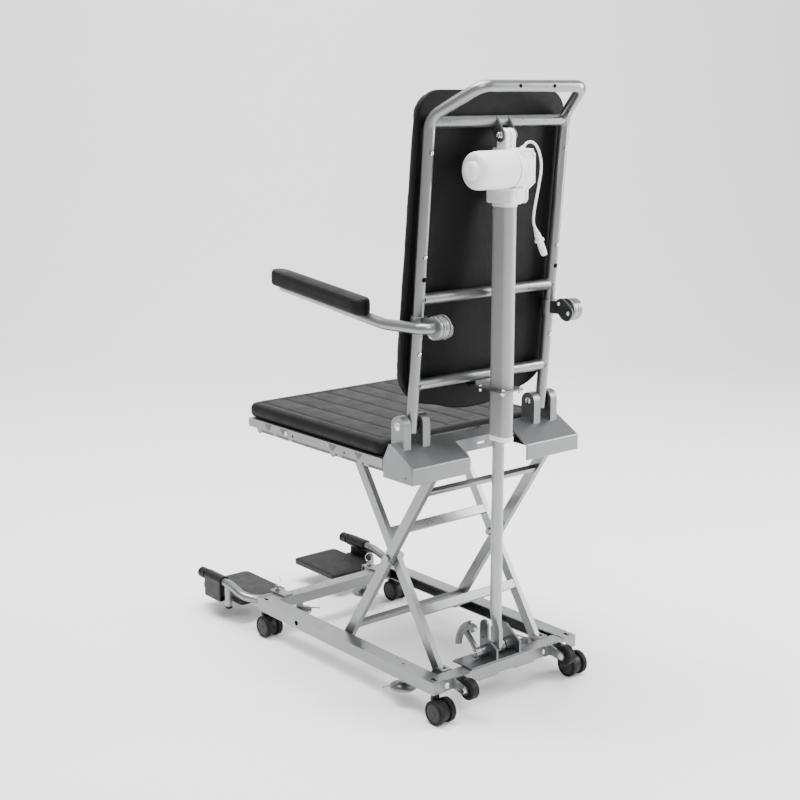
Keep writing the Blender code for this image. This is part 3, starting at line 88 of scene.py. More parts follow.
SIDES = (("left", 1), ("right", -1))
PIVOTS = {joint["name"]: Vector(joint["pos_m"]) for joint in frame["joints"] if "pos_m" in joint}
ARM_PIVOT = PIVOTS["armrest_left_fold"] - Vector((0, SHIFT, 0))
LATCH = PIVOTS["latch_swing"] - Vector((0, SHIFT, 0))
TUBE = 0.011
BACK_X = 0.1756
LEAN = 0.086
HINGE = Vector((0, 0.206, 0.583))
KNEE_Z = 1.165


def back_y(z):
    """The backrest upright's centre at this height."""
    return HINGE.y + 0.003 + LEAN * (z - HINGE.z)


def add(name, data):
    """A new object of the scene."""
    obj = bpy.data.objects.new(name, data)
    bpy.context.scene.collection.objects.link(obj)
    return obj


def mesh_of(form, name):
    """The bmesh as a mesh, with its faces turned outward; the bmesh is freed."""
    bmesh.ops.recalc_face_normals(form, faces=form.faces)
    mesh = bpy.data.meshes.new(name)
    form.to_mesh(mesh)
    form.free()
    return mesh


# ---------------------------------------------------------------- camera
LENS = 63.38
EYE = Vector((1.88487, 2.23659, 1.21433))
EYE_TURN = 140.36
EYE_DROP = 12.41


def camera():
    data = bpy.data.cameras.new("camera")
    data.lens = LENS
    data.sensor_width = 36
    eye = add("camera", data)
    turn, drop = math.radians(EYE_TURN), math.radians(EYE_DROP)
    back = Vector((math.sin(turn) * math.cos(drop), -math.cos(turn) * math.cos(drop), math.sin(drop)))
    eye.location = EYE + Vector((0, SHIFT, 0))
    eye.rotation_mode = "QUATERNION"
    eye.rotation_quaternion = (-back).to_track_quat("-Z", "Y")
    bpy.context.scene.camera = eye


camera()


# ---------------------------------------------------------------- materials
def feed(tree, socket, value):
    """Gives the socket a value, or a link from another node's output."""
    if isinstance(value, bpy.types.NodeSocket):
        tree.links.new(value, socket)
    else:
        socket.default_value = value


class Graph:
    """A material's nodes, added one after another."""

    def __init__(self, name):
        self.material = bpy.data.materials.new(name)
        self.material.use_nodes = True
        self.tree = self.material.node_tree
        self.shader = self.tree.nodes["Principled BSDF"]
        self.place = self.node("ShaderNodeTexCoord").outputs["Object"]

    def node(self, kind, inputs=None, **settings):
        made = self.tree.nodes.new(kind)
        for key, value in settings.items():
            setattr(made, key, value)
        for key, value in (inputs or {}).items():
            feed(self.tree, made.inputs[key], value)
        return made

    def noise(self, scale, detail=3.0, roughness=0.55):
        inputs = {"Vector": self.place, "Scale": scale, "Detail": detail, "Roughness": roughness}
        return self.node("ShaderNodeTexNoise", inputs).outputs["Fac"]

    def cells(self, scale, feature="DISTANCE_TO_EDGE"):
        inputs = {"Vector": self.place, "Scale": scale}
        return self.node("ShaderNodeTexVoronoi", inputs, feature=feature).outputs["Distance"]

    def spread(self, value, low, high, start=0.3, end=0.7):
        inputs = {"Value": value, "From Min": start, "From Max": end, "To Min": low, "To Max": high}
        return self.node("ShaderNodeMapRange", inputs).outputs["Result"]

    def mix(self, share, first, second):
        return self.node("ShaderNodeMix", {0: share, 6: first, 7: second}, data_type="RGBA").outputs[2]

    def bump(self, height, strength, distance, under=None):
        inputs = {"Height": height, "Strength": strength, "Distance": distance}
        if under is not None:
            inputs["Normal"] = under
        return self.node("ShaderNodeBump", inputs).outputs["Normal"]

    def set(self, **inputs):
        for key, value in inputs.items():
            feed(self.tree, self.shader.inputs[key.replace("_", " ")], value)
        return self.material


def shade(colour, factor):
    return (*(min(1, channel * factor) for channel in colour), 1)


def coated(name, colour, roughness, metallic, grain=1300, depth=0.00003, mottle=0.06, strength=0.12):
    """Powder coat or bare metal: fine orange peel, a faint mottle and rubbed patches."""
    graph = Graph(name)
    patch = graph.noise(9)
    fine = graph.noise(grain, 2)
    tone = graph.mix(graph.spread(patch, 0, 1), shade(colour, 1 - mottle), shade(colour, 1 + mottle))
    tone = graph.mix(graph.spread(fine, 0, 0.35), tone, shade(colour, 1.12))
    rough = graph.spread(graph.noise(26, 4), roughness - 0.05, roughness + 0.06)
    return graph.set(
        Base_Color=tone,
        Roughness=rough,
        Metallic=metallic,
        Normal=graph.bump(fine, strength, depth),
    )


def speckled(name, colour, roughness):
    """Pale coat with dark and light flecks, as on the actuator's tube."""
    graph = Graph(name)
    fleck = graph.cells(1500, "F1")
    fine = graph.noise(1900, 1)
    tone = graph.mix(graph.spread(fleck, 0, 1, 0.15, 0.75), shade(colour, 1.16), shade(colour, 0.86))
    tone = graph.mix(graph.spread(fine, 0, 0.5), tone, shade(colour, 0.94))
    rough = graph.spread(graph.noise(40, 3), roughness - 0.04, roughness + 0.06)
    return graph.set(Base_Color=tone, Roughness=rough, Metallic=0.12, Normal=graph.bump(fleck, 0.25, 0.00004))


def moulded(name, colour, roughness, grain=900, strength=0.3, mottle=0.08, gloss=0.5):
    """Moulded plastic with a fine spark-eroded texture."""
    graph = Graph(name)
    pits = graph.cells(grain, "F1")
    patch = graph.noise(14, 4)
    tone = graph.mix(graph.spread(patch, 0, 1), shade(colour, 1 - mottle), shade(colour, 1 + mottle))
    rough = graph.spread(graph.noise(60, 4), roughness - 0.05, roughness + 0.07)
    normal = graph.bump(pits, strength, 0.00005)
    return graph.set(Base_Color=tone, Roughness=rough, Specular_IOR_Level=gloss, Normal=normal)


def vinyl(name, colour, roughness):
    """Grained vinyl: small cells with creases between them, over uneven foam; the creases are painted darker
    as painted shade.
    """
    graph = Graph(name)
    grain = graph.spread(graph.cells(620), 0, 1, 0.0, 0.22)
    drift = graph.noise(30, 4)
    soft = graph.bump(drift, 0.25, 0.0012)
    normal = graph.bump(grain, 0.42, 0.00016, soft)
    # painted shade: the colour darkens towards each cell's edge, so the creases are painted darker than the
    # cells
    tone = graph.mix(grain, shade(colour, 0.75), shade(colour, 1.1))
    tone = graph.mix(graph.spread(graph.noise(7, 3), 0, 0.4), tone, shade(colour, 1.2))
    rough = graph.spread(drift, roughness - 0.06, roughness + 0.06)
    return graph.set(Base_Color=tone, Roughness=rough, Specular_IOR_Level=0.16, Normal=normal)


def thread(name, colour):
    """Twisted sewing thread: a fine slanting wave along the stitches."""
    graph = Graph(name)
    twist = graph.noise(2400, 2)
    tone = graph.mix(graph.spread(twist, 0, 1), shade(colour, 0.7), shade(colour, 1.4))
    return graph.set(Base_Color=tone, Roughness=0.75, Normal=graph.bump(twist, 0.6, 0.0001))


SILVER = (0.235, 0.238, 0.242)
LOOKS = {
    "frame": (coated("silver_coat", SILVER, 0.31, 0.9), "silver_frame"),
    "cast": (
        coated("cast_coat", (0.205, 0.208, 0.212), 0.38, 0.84, 800, 0.00005, 0.08, 0.25), "silver_frame"
    ),
    "dark": (coated("dark_coat", (0.11, 0.113, 0.116), 0.38, 0.8), "dark_steel"),
    "plate": (coated("latch_plate", (0.155, 0.158, 0.162), 0.36, 0.88), "silver_frame"),
    "zinc": (coated("zinc_plate", (0.3, 0.3, 0.297), 0.32, 0.85, 700, 0.00003, 0.1, 0.2), "zinc_steel"),
    "steel": (coated("bare_steel", (0.74, 0.74, 0.73), 0.2, 1.0, 900, 0.00002, 0.08, 0.15), "zinc_steel"),
    "rod": (
        coated("anodised_rod", (0.31, 0.318, 0.318), 0.34, 0.6, 1700, 0.00002, 0.05, 0.12), "actuator_rod"
    ),
    "tube": (speckled("speckled_tube", (0.33, 0.33, 0.328), 0.45), "actuator_tube"),
    "housing": (moulded("white_housing", (0.86, 0.86, 0.855), 0.34, 1100, 0.12, 0.02), "white_housing"),
    "flex": (moulded("white_flex", (0.84, 0.84, 0.83), 0.42, 1500, 0.15, 0.03), "white_housing"),
    "black": (moulded("black_plastic", (0.005, 0.005, 0.0054), 0.42, gloss=0.25), "black_plastic"),
    "shell": (
        moulded("black_shell", (0.0032, 0.0032, 0.0035), 0.55, 700, 0.25, 0.12, 0.12), "black_upholstery"
    ),
    # painted shade: a near-black disc stands for the shaded inside of each hole
    "hole": (moulded("painted_hole_shade", (0.002, 0.002, 0.002), 0.8, 400, 0.2, gloss=0.05), "black_plastic"),
    "tread": (moulded("wheel_rubber", (0.0045, 0.0045, 0.0049), 0.55, 500, 0.35, 0.12, 0.18), "wheel_rubber"),
    "hub": (moulded("wheel_hub", (0.016, 0.0162, 0.017), 0.45, 900, 0.3, 0.1, 0.3), "black_plastic"),
    "vinyl": (vinyl("black_vinyl", (0.0045, 0.0045, 0.0049), 0.52), "black_upholstery"),
    "thread": (thread("black_thread", (0.012, 0.012, 0.0125)), "black_upholstery"),
}


# ---------------------------------------------------------------- shapes, added to a bmesh
def block(form, low, high, bevel=0.0, segments=2, turn=None):
    low, high = Vector(low), Vector(high)
    made = bmesh.ops.create_cube(form, size=1.0)["verts"]
    bmesh.ops.scale(form, vec=high - low, verts=made)
    bmesh.ops.translate(form, vec=(low + high) / 2, verts=made)
    if bevel:
        made = soften(form, made, bevel, segments)
    if turn:
        bmesh.ops.transform(form, matrix=turn, verts=made)
    return made


def mm(*pairs):
    """Pairs given in millimetres."""
    return [(first / 1000, second / 1000) for first, second in pairs]


def made(shape, *sizes, **more):
    """A bmesh that holds one shape."""
    form = bmesh.new()
    shape(form, *sizes, **more)
    return form


def soften(form, verts, width, segments=2, angle=25):
    """Rounds the sharp edges among these vertices, and gives back the vertices there after."""
    verts = set(verts)
    others = set(form.verts) - verts
    limit = math.radians(angle)
    edges = [
        edge
        for edge in form.edges
        if edge.verts[0] in verts and len(edge.link_faces) == 2 and edge.calc_face_angle(0) > limit
    ]
    bmesh.ops.bevel(
        form,
        geom=edges,
        offset=width,
        segments=segments,
        profile=0.5,
        affect="EDGES",
        clamp_overlap=True,
    )
    return [vertex for vertex in form.verts if vertex not in others]


def toward(direction):
    """A matrix that turns +Z to this direction."""
    return Vector((0, 0, 1)).rotation_difference(Vector(direction)).to_matrix().to_4x4()


def lathe(form, start, direction, profile, sides=40):
    """A turned piece: the profile gives distance along the direction, and radius there."""
    matrix = Matrix.Translation(Vector(start)) @ toward(direction)
    rings = []
    for along, radius in profile:
        if radius < 1e-6:
            rings.append([form.verts.new(matrix @ Vector((0, 0, along)))])
            continue
        turns = [math.tau * i / sides for i in range(sides)]
        spots = [Vector((radius * math.cos(t), radius * math.sin(t), along)) for t in turns]
        rings.append([form.verts.new(matrix @ spot) for spot in spots])
    for ring in (rings[0], rings[-1]):
        if len(ring) > 1:
            form.faces.new(ring)
    for first, second in zip(rings, rings[1:]):
        for i in range(sides):
            corners = [first[i % len(first)], first[(i + 1) % len(first)]]
            corners += [second[(i + 1) % len(second)], second[i % len(second)]]
            unique = list(dict.fromkeys(corners))
            form.faces.new(unique)
    return [vertex for ring in rings for vertex in ring]


def rod(form, start, end, radius, sides=32, edge=0.0):
    """A cylinder with softened rims."""
    start, end = Vector(start), Vector(end)
    length = (end - start).length
    edge = min(edge, length / 3, radius / 2)
    if not edge:
        profile = [(0, radius), (length, radius)]
    else:
        in_edge = edge * 0.3
        profile = [(0, radius - edge), (in_edge, radius - in_edge), (edge, radius)]
        profile += [(length - edge, radius), (length - in_edge, radius - in_edge), (length, radius - edge)]
    return lathe(form, start, end - start, profile, sides)


def rod_x(form, x0, x1, y, z, radius, sides=32, edge=0.0005):
    return rod(form, (x0, y, z), (x1, y, z), radius, sides, edge)


def sweep(form, route, radius, sides=24, closed=False):
    """A round tube along a route, turned as little as possible from ring to ring."""
    route = [Vector(place) for place in route]
    count = len(route)
    ahead = []
    for i in range(count):
        before = route[(i - 1) % count] if closed or i else route[0]
        after = route[(i + 1) % count] if closed or i < count - 1 else route[-1]
        ahead.append((after - before).normalized())
    side = ahead[0].orthogonal().normalized()
    rings = []
    radii = radius if isinstance(radius, (list, tuple)) else [radius] * count
    for place, heading, size in zip(route, ahead, radii):
        side = (side - heading * side.dot(heading)).normalized()
        up = heading.cross(side)
        turns = [math.tau * i / sides for i in range(sides)]
        rings.append([form.verts.new(place + (side * math.cos(t) + up * math.sin(t)) * size) for t in turns])
    pairs = list(zip(rings, rings[1:]))
    if closed:
        pairs.append((rings[-1], rings[0]))
    for first, second in pairs:
        for i in range(sides):
            j = (i + 1) % sides
            form.faces.new((first[i], first[j], second[j], second[i]))
    if not closed:
        form.faces.new(rings[0])
        form.faces.new(rings[-1])
    return [vertex for ring in rings for vertex in ring]


AXES = {
    "X": Matrix(((0, 0, 1, 0), (1, 0, 0, 0), (0, 1, 0, 0), (0, 0, 0, 1))),  # outline in Y, Z
    "Y": Matrix(((1, 0, 0, 0), (0, 0, -1, 0), (0, 1, 0, 0), (0, 0, 0, 1))),  # outline in X, Z
    "Z": Matrix.Identity(4),  # outline in X, Y
}


def slab(form, outline, axis, low, high, bevel=0.0, segments=2, angle=25):
    """A flat outline given thickness along the axis."""
    if axis == "Y":
        low, high = -high, -low
    made = [form.verts.new((u, v, low)) for u, v in outline]
    face = form.faces.new(made)
    raised = bmesh.ops.extrude_face_region(form, geom=[face])["geom"]
    top = [item for item in raised if isinstance(item, bmesh.types.BMVert)]
    bmesh.ops.translate(form, vec=(0, 0, high - low), verts=top)
    made += top
    bmesh.ops.transform(form, matrix=AXES[axis], verts=made)
    if bevel:
        made = soften(form, made, bevel, segments, angle)
    return made


def arc(centre, radius, first, last, steps):
    turns = [math.radians(first + (last - first) * i / steps) for i in range(steps + 1)]
    return [(centre[0] + radius * math.cos(t), centre[1] + radius * math.sin(t)) for t in turns]


def stadium(start, end, radius, steps=14):
    heading = math.degrees(math.atan2(end[1] - start[1], end[0] - start[0]))
    return arc(end, radius, heading - 90, heading + 90, steps) + arc(
        start, radius, heading + 90, heading + 270, steps
    )


def rounded(low, high, radius, steps=6):
    outline = []
    for turn, (u, v) in enumerate(((1, 1), (0, 1), (0, 0), (1, 0))):
        centre = (high[0] - radius if u else low[0] + radius, high[1] - radius if v else low[1] + radius)
        outline += arc(centre, radius, 90 * turn, 90 * turn + 90, steps)
    return outline


def bent(corners, radii, degrees=5):
    """A route through corners, each but the first and last rounded to its radius."""
    corners = [Vector(corner) for corner in corners]
    route = [corners[0]]
    for before, corner, after, radius in zip(corners, corners[1:], corners[2:], radii):
        back = (before - corner).normalized()
        on = (after - corner).normalized()
        half = back.angle(on) / 2
        centre = corner + (back + on).normalized() * (radius / math.sin(half))
        start = (corner + back * (radius / math.tan(half)) - centre).normalized()
        end = (corner + on * (radius / math.tan(half)) - centre).normalized()
        steps = max(3, round(start.angle(end) / math.radians(degrees)))
        route += [centre + start.slerp(end, i / steps) * radius for i in range(steps + 1)]
    return route + [corners[-1]]


def span(side, near, far):
    """A stretch across the chair, given outward from its middle, as low and high X."""
    return (near, far) if side > 0 else (-far, -near)


# ---------------------------------------------------------------- pieces
def place(name, form, look, body, *nodes, sharp=50, even=True):
    """Makes the piece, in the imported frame, riding on its body and standing for its nodes."""
    bmesh.ops.translate(form, vec=(0, SHIFT, 0), verts=form.verts)
    mesh = mesh_of(form, name)
    mesh.shade_smooth()
    mesh.set_sharp_from_angle(angle=math.radians(sharp))
    obj = add(name, mesh)
    chosen, slot = LOOKS[look]
    mesh.materials.append(chosen)
    if even:
        normals = obj.modifiers.new("even shading", "WEIGHTED_NORMAL")
        normals.keep_sharp = True
    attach(obj, body)
    if nodes:
        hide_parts(*nodes)
    return obj


def carve(obj, cutter):
    """Cuts a bmesh from a piece for good."""
    bmesh.ops.translate(cutter, vec=(0, SHIFT, 0), verts=cutter.verts)
    tool = add("cutter", mesh_of(cutter, "cutter"))
    change = obj.modifiers.new("cut", "BOOLEAN")
    change.object = tool
    change.solver = "EXACT"
    while obj.modifiers[0] != change:
        obj.modifiers.move(len(obj.modifiers) - 1, 0)
    for modifier in obj.modifiers:
        modifier.show_viewport = modifier == change
    name = obj.data.name
    new_mesh(obj)
    obj.modifiers.remove(change)
    for modifier in obj.modifiers:
        modifier.show_viewport = True
    obj.data.name = name
    obj.data.set_sharp_from_angle(angle=math.radians(50))
    bpy.data.objects.remove(tool)
    return obj


def new_mesh(obj):
    """The piece's mesh as its visible modifiers leave it takes the old one's place."""
    bpy.context.view_layer.update()
    changed = bpy.data.meshes.new_from_object(obj.evaluated_get(bpy.context.evaluated_depsgraph_get()))
    old = obj.data
    obj.data = changed
    bpy.data.meshes.remove(old)
    changed.shade_smooth()


def screw(
    name, at, direction, body, radius=0.0045, height=0.003, look="zinc", kind="socket", washer=0.0, nodes=()
):
    """A screw head: socket cap, round pan or hexagon, on a washer if it has one."""
    direction = Vector(direction).normalized()
    at = Vector(at)
    form = bmesh.new()
    foot = at - direction * 0.001
    if washer:
        rod(form, foot, at + direction * 0.001, washer, 28, 0.0003)
        at = at + direction * 0.0009
        foot = at - direction * 0.0005
    if kind == "hex":
        lathe(
            form, foot, direction, [(0, radius), (height * 0.9, radius), (height + 0.0004, radius * 0.86)],
            6,
        )
    elif kind == "pan":
        profile = [
            (0, radius), (height * 0.35, radius), (height * 0.75, radius * 0.82), (height, radius * 0.45)
        ]
        lathe(
            form, foot, direction,
            profile + [(height, radius * 0.3), (height * 0.55, radius * 0.22), (height * 0.55, 0)], 24,
        )
    else:
        rim = radius * 0.12
        profile = [(0, radius), (height, radius), (height + rim, radius - rim), (height + rim, radius * 0.55)]
        lathe(form, foot, direction, profile + [(height * 0.4, radius * 0.5), (height * 0.4, 0)], 24)
    return place(name, form, look, body, *nodes, sharp=35)


# ---------------------------------------------------------------- cable
CABLE = 0.0025
CABLE_ROUTE = (
    (-0.026, 0.298, 1.1095),
    (-0.033, 0.299, 1.1165),
    (-0.044, 0.3, 1.118),
    (-0.056, 0.3, 1.112),
    (-0.0665, 0.299, 1.098),
    (-0.0735, 0.298, 1.078),
    (-0.074, 0.297, 1.058),
    (-0.07, 0.296, 1.033),
    (-0.064, 0.296, 1.007),
    (-0.059, 0.296, 0.984),
    (-0.0578, 0.296, 0.971),
    (-0.0588, 0.296, 0.961),
    (-0.0628, 0.296, 0.953),
)
GAP = 0.0003


def smooth(route, steps=6):
    """A smooth curve through the route."""
    points = [Vector(spot) for spot in route]
    points = [2 * points[0] - points[1]] + points + [2 * points[-1] - points[-2]]
    line = []
    for a, b, c, d in zip(points, points[1:], points[2:], points[3:]):
        for i in range(steps):
            t = i / steps
            line.append(
                0.5 * (
                    2 * b + (c - a) * t + (2 * a - 5 * b + 4 * c - d) * t**2 + (3 * b - a - 3 * c + d) * t**3
                )
            )
    return line + [points[-2]]


def cable():
    """The white lead: out of the gearbox's gland, over in an arch and down to a connector that hangs free."""
    line = smooth(CABLE_ROUTE)
    lead = place("cable_lead", made(sweep, line, CABLE, 20), "flex", "seat", "cable", even=False)
    end = line[-1]
    ahead = (end - Vector(CABLE_ROUTE[-2])).normalized()
    start = end + ahead * GAP
    form = bmesh.new()
    ribs = [(0, CABLE), (0.0002, 0.0033), (0.0022, 0.0036), (0.0024, 0.003), (0.0036, 0.003), (0.0038, 0.004)]
    ribs += mm((5.8, 4.2), (6, 3.4), (7.2, 3.4), (7.4, 4.6), (9.6, 4.9))
    ribs += mm((10, 4), (11.8, 4), (12.2, 5.8), (13.5, 6.4), (24, 6.4))
    ribs += mm((24.6, 7), (25, 9.6), (28.4, 9.7), (29, 9), (29.2, 6))
    ribs += mm((33, 5.8), (33.4, 6.6), (56, 6.6), (59, 6), (59.7, 5))
    ribs += mm((59.7, 3.6), (50, 3.4), (50, 0))
    lathe(form, start, ahead, ribs, 32)
    plug = place("cable_connector", form, "flex", "seat", "cable_plug", sharp=40)
    form = bmesh.new()
    across = ahead.cross(Vector((0, 1, 0))).normalized()
    for turn in range(3):
        angle = math.radians(120 * turn + 30)
        out = across * math.cos(angle) + Vector((0, 1, 0)) * math.sin(angle)
        foot = start + ahead * 0.0505 + out * 0.0017
        rod(form, foot - ahead * 0.001, foot + ahead * 0.0075, 0.0006, 12, 0.0002)
    pins = place("connector_pins", form, "steel", "seat")
    form = bmesh.new()
    for i in range(5):
        along = 0.0365 + 0.0155 * i / 4
        rod(form, start + ahead * along, start + ahead * (along + 0.0012), 0.007, 28, 0.0003)
    grip = place("connector_grip", form, "flex", "seat")


cable()


# ---------------------------------------------------------------- finer copies of the CAD's own pieces
def finer(node, look, bevel=0.001, segments=2, name=None, angle=28):
    """A piece with the node's shape, its faces made whole again and its sharp edges rounded."""
    source = frame["nodes"][node]
    form = bmesh.new()
    form.from_mesh(source.data)
    bmesh.ops.remove_doubles(form, verts=form.verts, dist=0.00002)
    flat = math.radians(0.6)
    bmesh.ops.dissolve_limit(form, angle_limit=flat, verts=form.verts, edges=form.edges)
    if bevel:
        soften(form, form.verts[:], bevel, segments, angle)
    bmesh.ops.translate(form, vec=(0, -SHIFT, 0), verts=form.verts)
    return place(name or f"{node}_fine", form, look, source["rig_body"], node, sharp=40)


# ---------------------------------------------------------------- upholstery
def cushion_sim(obj, pinned, pressure=4.0, voxel=0.005, most=0.008, frames=20):
    """Fills the cover with air as simulated cloth, held where pinned(spot) says."""
    remesh = obj.modifiers.new("even grid", "REMESH")
    remesh.mode = "VOXEL"
    remesh.voxel_size = voxel
    remesh.use_smooth_shade = True
    bake(obj)
    held = obj.vertex_groups.new(name="held")
    start = [vertex.co.copy() for vertex in obj.data.vertices]
    for vertex in obj.data.vertices:
        weight = pinned(vertex.co - Vector((0, SHIFT, 0)))
        if weight:
            held.add([vertex.index], weight, "REPLACE")
    cloth = obj.modifiers.new("cloth", "CLOTH")
    settings = cloth.settings
    settings.quality = 6
    settings.mass = 0.35
    settings.tension_stiffness = 22
    settings.compression_stiffness = 22
    settings.shear_stiffness = 10
    settings.bending_stiffness = 1.2
    settings.use_pressure = True
    settings.uniform_pressure_force = pressure
    settings.vertex_group_mass = "held"
    settings.effector_weights.gravity = 0
    cloth.collision_settings.use_collision = False
    cloth.point_cache.frame_start = 1
    cloth.point_cache.frame_end = frames
    for at in range(1, frames + 1):
        bpy.context.scene.frame_set(at)
    bake(obj)
    bpy.context.scene.frame_set(1)
    for vertex, rest in zip(obj.data.vertices, start):
        moved = vertex.co - rest
        if moved.length > most:
            vertex.co = rest + moved * (most / moved.length)
    finest = obj.modifiers.new("finer", "SUBSURF")
    finest.levels = finest.render_levels = 1
    bake(obj)
    return obj


def bake(obj):
    """Makes the piece's modifiers part of its mesh."""
    new_mesh(obj)
    obj.modifiers.clear()


def stitches(name, lines, body, length=0.0042, gap=0.0022, radius=0.00045):
    """Rows of short thread stitches laid along lines of points."""
    form = bmesh.new()
    for line in lines:
        spare = 0.0
        for start, end in zip(line, line[1:]):
            stretch = (end - start).length
            if stretch < 1e-6:
                continue
            heading = (end - start) / stretch
            along = spare
            while along + length < stretch:
                a, b = start + heading * along, start + heading * (along + length)
                route = [a, a.lerp(b, 0.25), a.lerp(b, 0.75), b]
                sweep(form, route, [radius * 0.4, radius, radius, radius * 0.4], 6)
                along += length + gap
            spare = max(0.0, along - stretch)
    return place(name, form, "thread", body, even=False)


def surface_line(obj, from_spots, direction, lift=0.0002):
    """The spots carried along the direction onto the piece's surface."""
    line = []
    for spot in from_spots:
        origin = Vector(spot) + Vector((0, SHIFT, 0))
        hit, where, normal, _ = obj.ray_cast(origin, Vector(direction))
        if hit:
            line.append(where + normal * lift - Vector((0, SHIFT, 0)))
    return line


SEAT_LOW, SEAT_HIGH = low_high("seat_cushion")
SEW_LINES = 8
SEW_DEPTH = 0.0014


def sew_place(x):
    """How far this X lies from the nearest sewn line, and that line's X."""
    step = 2 * (SEAT_HIGH.x - 0.022) / (SEW_LINES - 1)
    nearest = round((x + SEAT_HIGH.x - 0.022) / step)
    line = -SEAT_HIGH.x + 0.022 + min(SEW_LINES - 1, max(0, nearest)) * step
    return abs(x - line), line


def seat_pad():
    """A thick vinyl cushion, sewn into long panels from front to back."""
    low, high = SEAT_LOW - Vector((0.003, 0.002, 0)), SEAT_HIGH + Vector((0.003, -0.002, -0.01))
    form = made(slab, rounded((low.x, low.y), (high.x, high.y), 0.022, 8), "Z", low.z, high.z, 0.011, 5, 40)
    pad = place("seat_pad", form, "vinyl", "seat", "seat_cushion", even=False)

    def held(spot):
        if spot.z < low.z + 0.008:
            return 1.0
        away, _ = sew_place(spot.x)
        inside = low.y + 0.03 < spot.y < high.y - 0.03
        return 1.0 if away < 0.0035 and inside and spot.z > high.z - 0.004 else 0.0

    cushion_sim(pad, held, 4.0, 0.005, 0.01)
    for vertex in pad.data.vertices:
        spot = vertex.co - Vector((0, SHIFT, 0))
        away, _ = sew_place(spot.x)
        ends = min(spot.y - low.y, high.y - spot.y)
        if spot.z > high.z - 0.012 and ends > 0.012:
            share = math.exp(-((away / 0.0035) ** 2)) * min(1, (ends - 0.012) / 0.02)
            vertex.co.z -= SEW_DEPTH * share
    lines = []
    for i in range(SEW_LINES):
        x = -SEAT_HIGH.x + 0.022 + i * 2 * (SEAT_HIGH.x - 0.022) / (SEW_LINES - 1)
        spots = [(x, low.y + 0.016 + (high.y - low.y - 0.032) * t / 60, high.z + 0.05) for t in range(61)]
        lines.append(surface_line(pad, spots, (0, 0, -1)))
    stitches("seat_stitching", lines, "seat")


seat_pad()

CUSHION_HALF = 0.198
CUSHION_TOP = 1.216
CUSHION_THICK = 0.036
CUSHION_REAR = -TUBE * math.hypot(1, LEAN) - 0.004 * math.hypot(1, LEAN)
LEANING = Matrix(((1, 0, 0, 0), (0, 1, LEAN, 0), (0, 0, 1, 0), (0, 0, 0, 1)))
SHELL_DEEP = 0.009


def back_outline(inset=0.0):
    """Outline of the back panel, its lower edge drawn down in the middle, set in by this much."""
    right = mm((0, 590), (55, 595), (103, 608), (150, 620), (182, 645))
    right += [(CUSHION_HALF, 0.7), (CUSHION_HALF - 0.002, 0.9), (CUSHION_HALF - 0.006, CUSHION_TOP - 0.055)]
    corner = arc((CUSHION_HALF - 0.056, CUSHION_TOP - 0.05), 0.05, 0, 90, 10)
    low = [Vector((u, 0, v)) for u, v in [(-0.055, 0.595)] + right]
    smoothed = smooth(low, 5)[5:]
    half = [(spot.x, spot.z) for spot in smoothed] + corner[1:]
    outline = half + [(-u, v) for u, v in reversed(half[1:])]
    if not inset:
        return outline
    middle = Vector((0, 0.9))
    shrunk = []
    count = len(outline)
    for i, spot in enumerate(outline):
        before, after = Vector(outline[i - 1]), Vector(outline[(i + 1) % count])
        along = (after - before).normalized()
        inward = Vector((-along.y, along.x))
        if inward.dot(middle - Vector(spot)) < 0:
            inward = -inward
        shrunk.append(tuple(Vector(spot) + inward * inset))
    return shrunk


def back_pad():
    """The back: a moulded shell behind, and in front of it a sewn vinyl cushion."""
    ahead = back_y(0) + CUSHION_REAR
    tilt = Matrix.Translation((0, ahead, 0)) @ LEANING
    form = bmesh.new()
    slab(form, back_outline(0.0004), "Y", -SHELL_DEEP, 0, 0.0042, 4, 40)
    bmesh.ops.transform(form, matrix=tilt, verts=form.verts)
    shell = place("back_shell", form, "shell", "seat", "back_cushion")
    form = bmesh.new()
    slab(form, back_outline(0.004), "Y", -CUSHION_THICK + 0.006, -SHELL_DEEP - GAP, 0.009, 4, 40)
    bmesh.ops.transform(form, matrix=tilt, verts=form.verts)
    pad = place("back_pad", form, "vinyl", "seat", even=False)

    def depth(spot):
        return spot.y - ahead - LEAN * spot.z

    def held(spot):
        on_channel = abs(abs(spot.x) - 0.07) < 0.0035 and depth(spot) < -0.02 and 0.66 < spot.z < 1.15
        return 1.0 if depth(spot) > -0.015 or on_channel else 0.0

    cushion_sim(pad, held, 4.0, 0.0055, 0.006)
    lines = []
    for x in (-0.07, 0.07):
        spots = [(x, -0.2, 0.66 + 0.49 * t / 50) for t in range(51)]
        lines.append(surface_line(pad, spots, (0, 1, 0)))
    stitches("back_stitching", lines, "seat")
    form = bmesh.new()
    rim = [tilt @ Vector((u, -SHELL_DEEP - GAP, v)) for u, v in back_outline(0.003)]
    sweep(form, rim, 0.0022, 10, closed=True)
    place("back_piping", form, "vinyl", "seat", even=False)
    return shell


back_pad()


# ---------------------------------------------------------------- backrest frame
HANDLE_Z = 1.222
HANDLE_Y = back_y(KNEE_Z) + 0.0885
HANDLE_X = BACK_X - 0.045


def frame_route(foot_z=HINGE.z - 0.021):
    corners = [
        (BACK_X, back_y(foot_z), foot_z), (BACK_X, back_y(KNEE_Z), KNEE_Z), (HANDLE_X, HANDLE_Y, HANDLE_Z)
    ]
    corners += [(-x, y, z) for x, y, z in reversed(corners)]
    return bent(corners, (0.04, 0.03, 0.03, 0.04), 4)


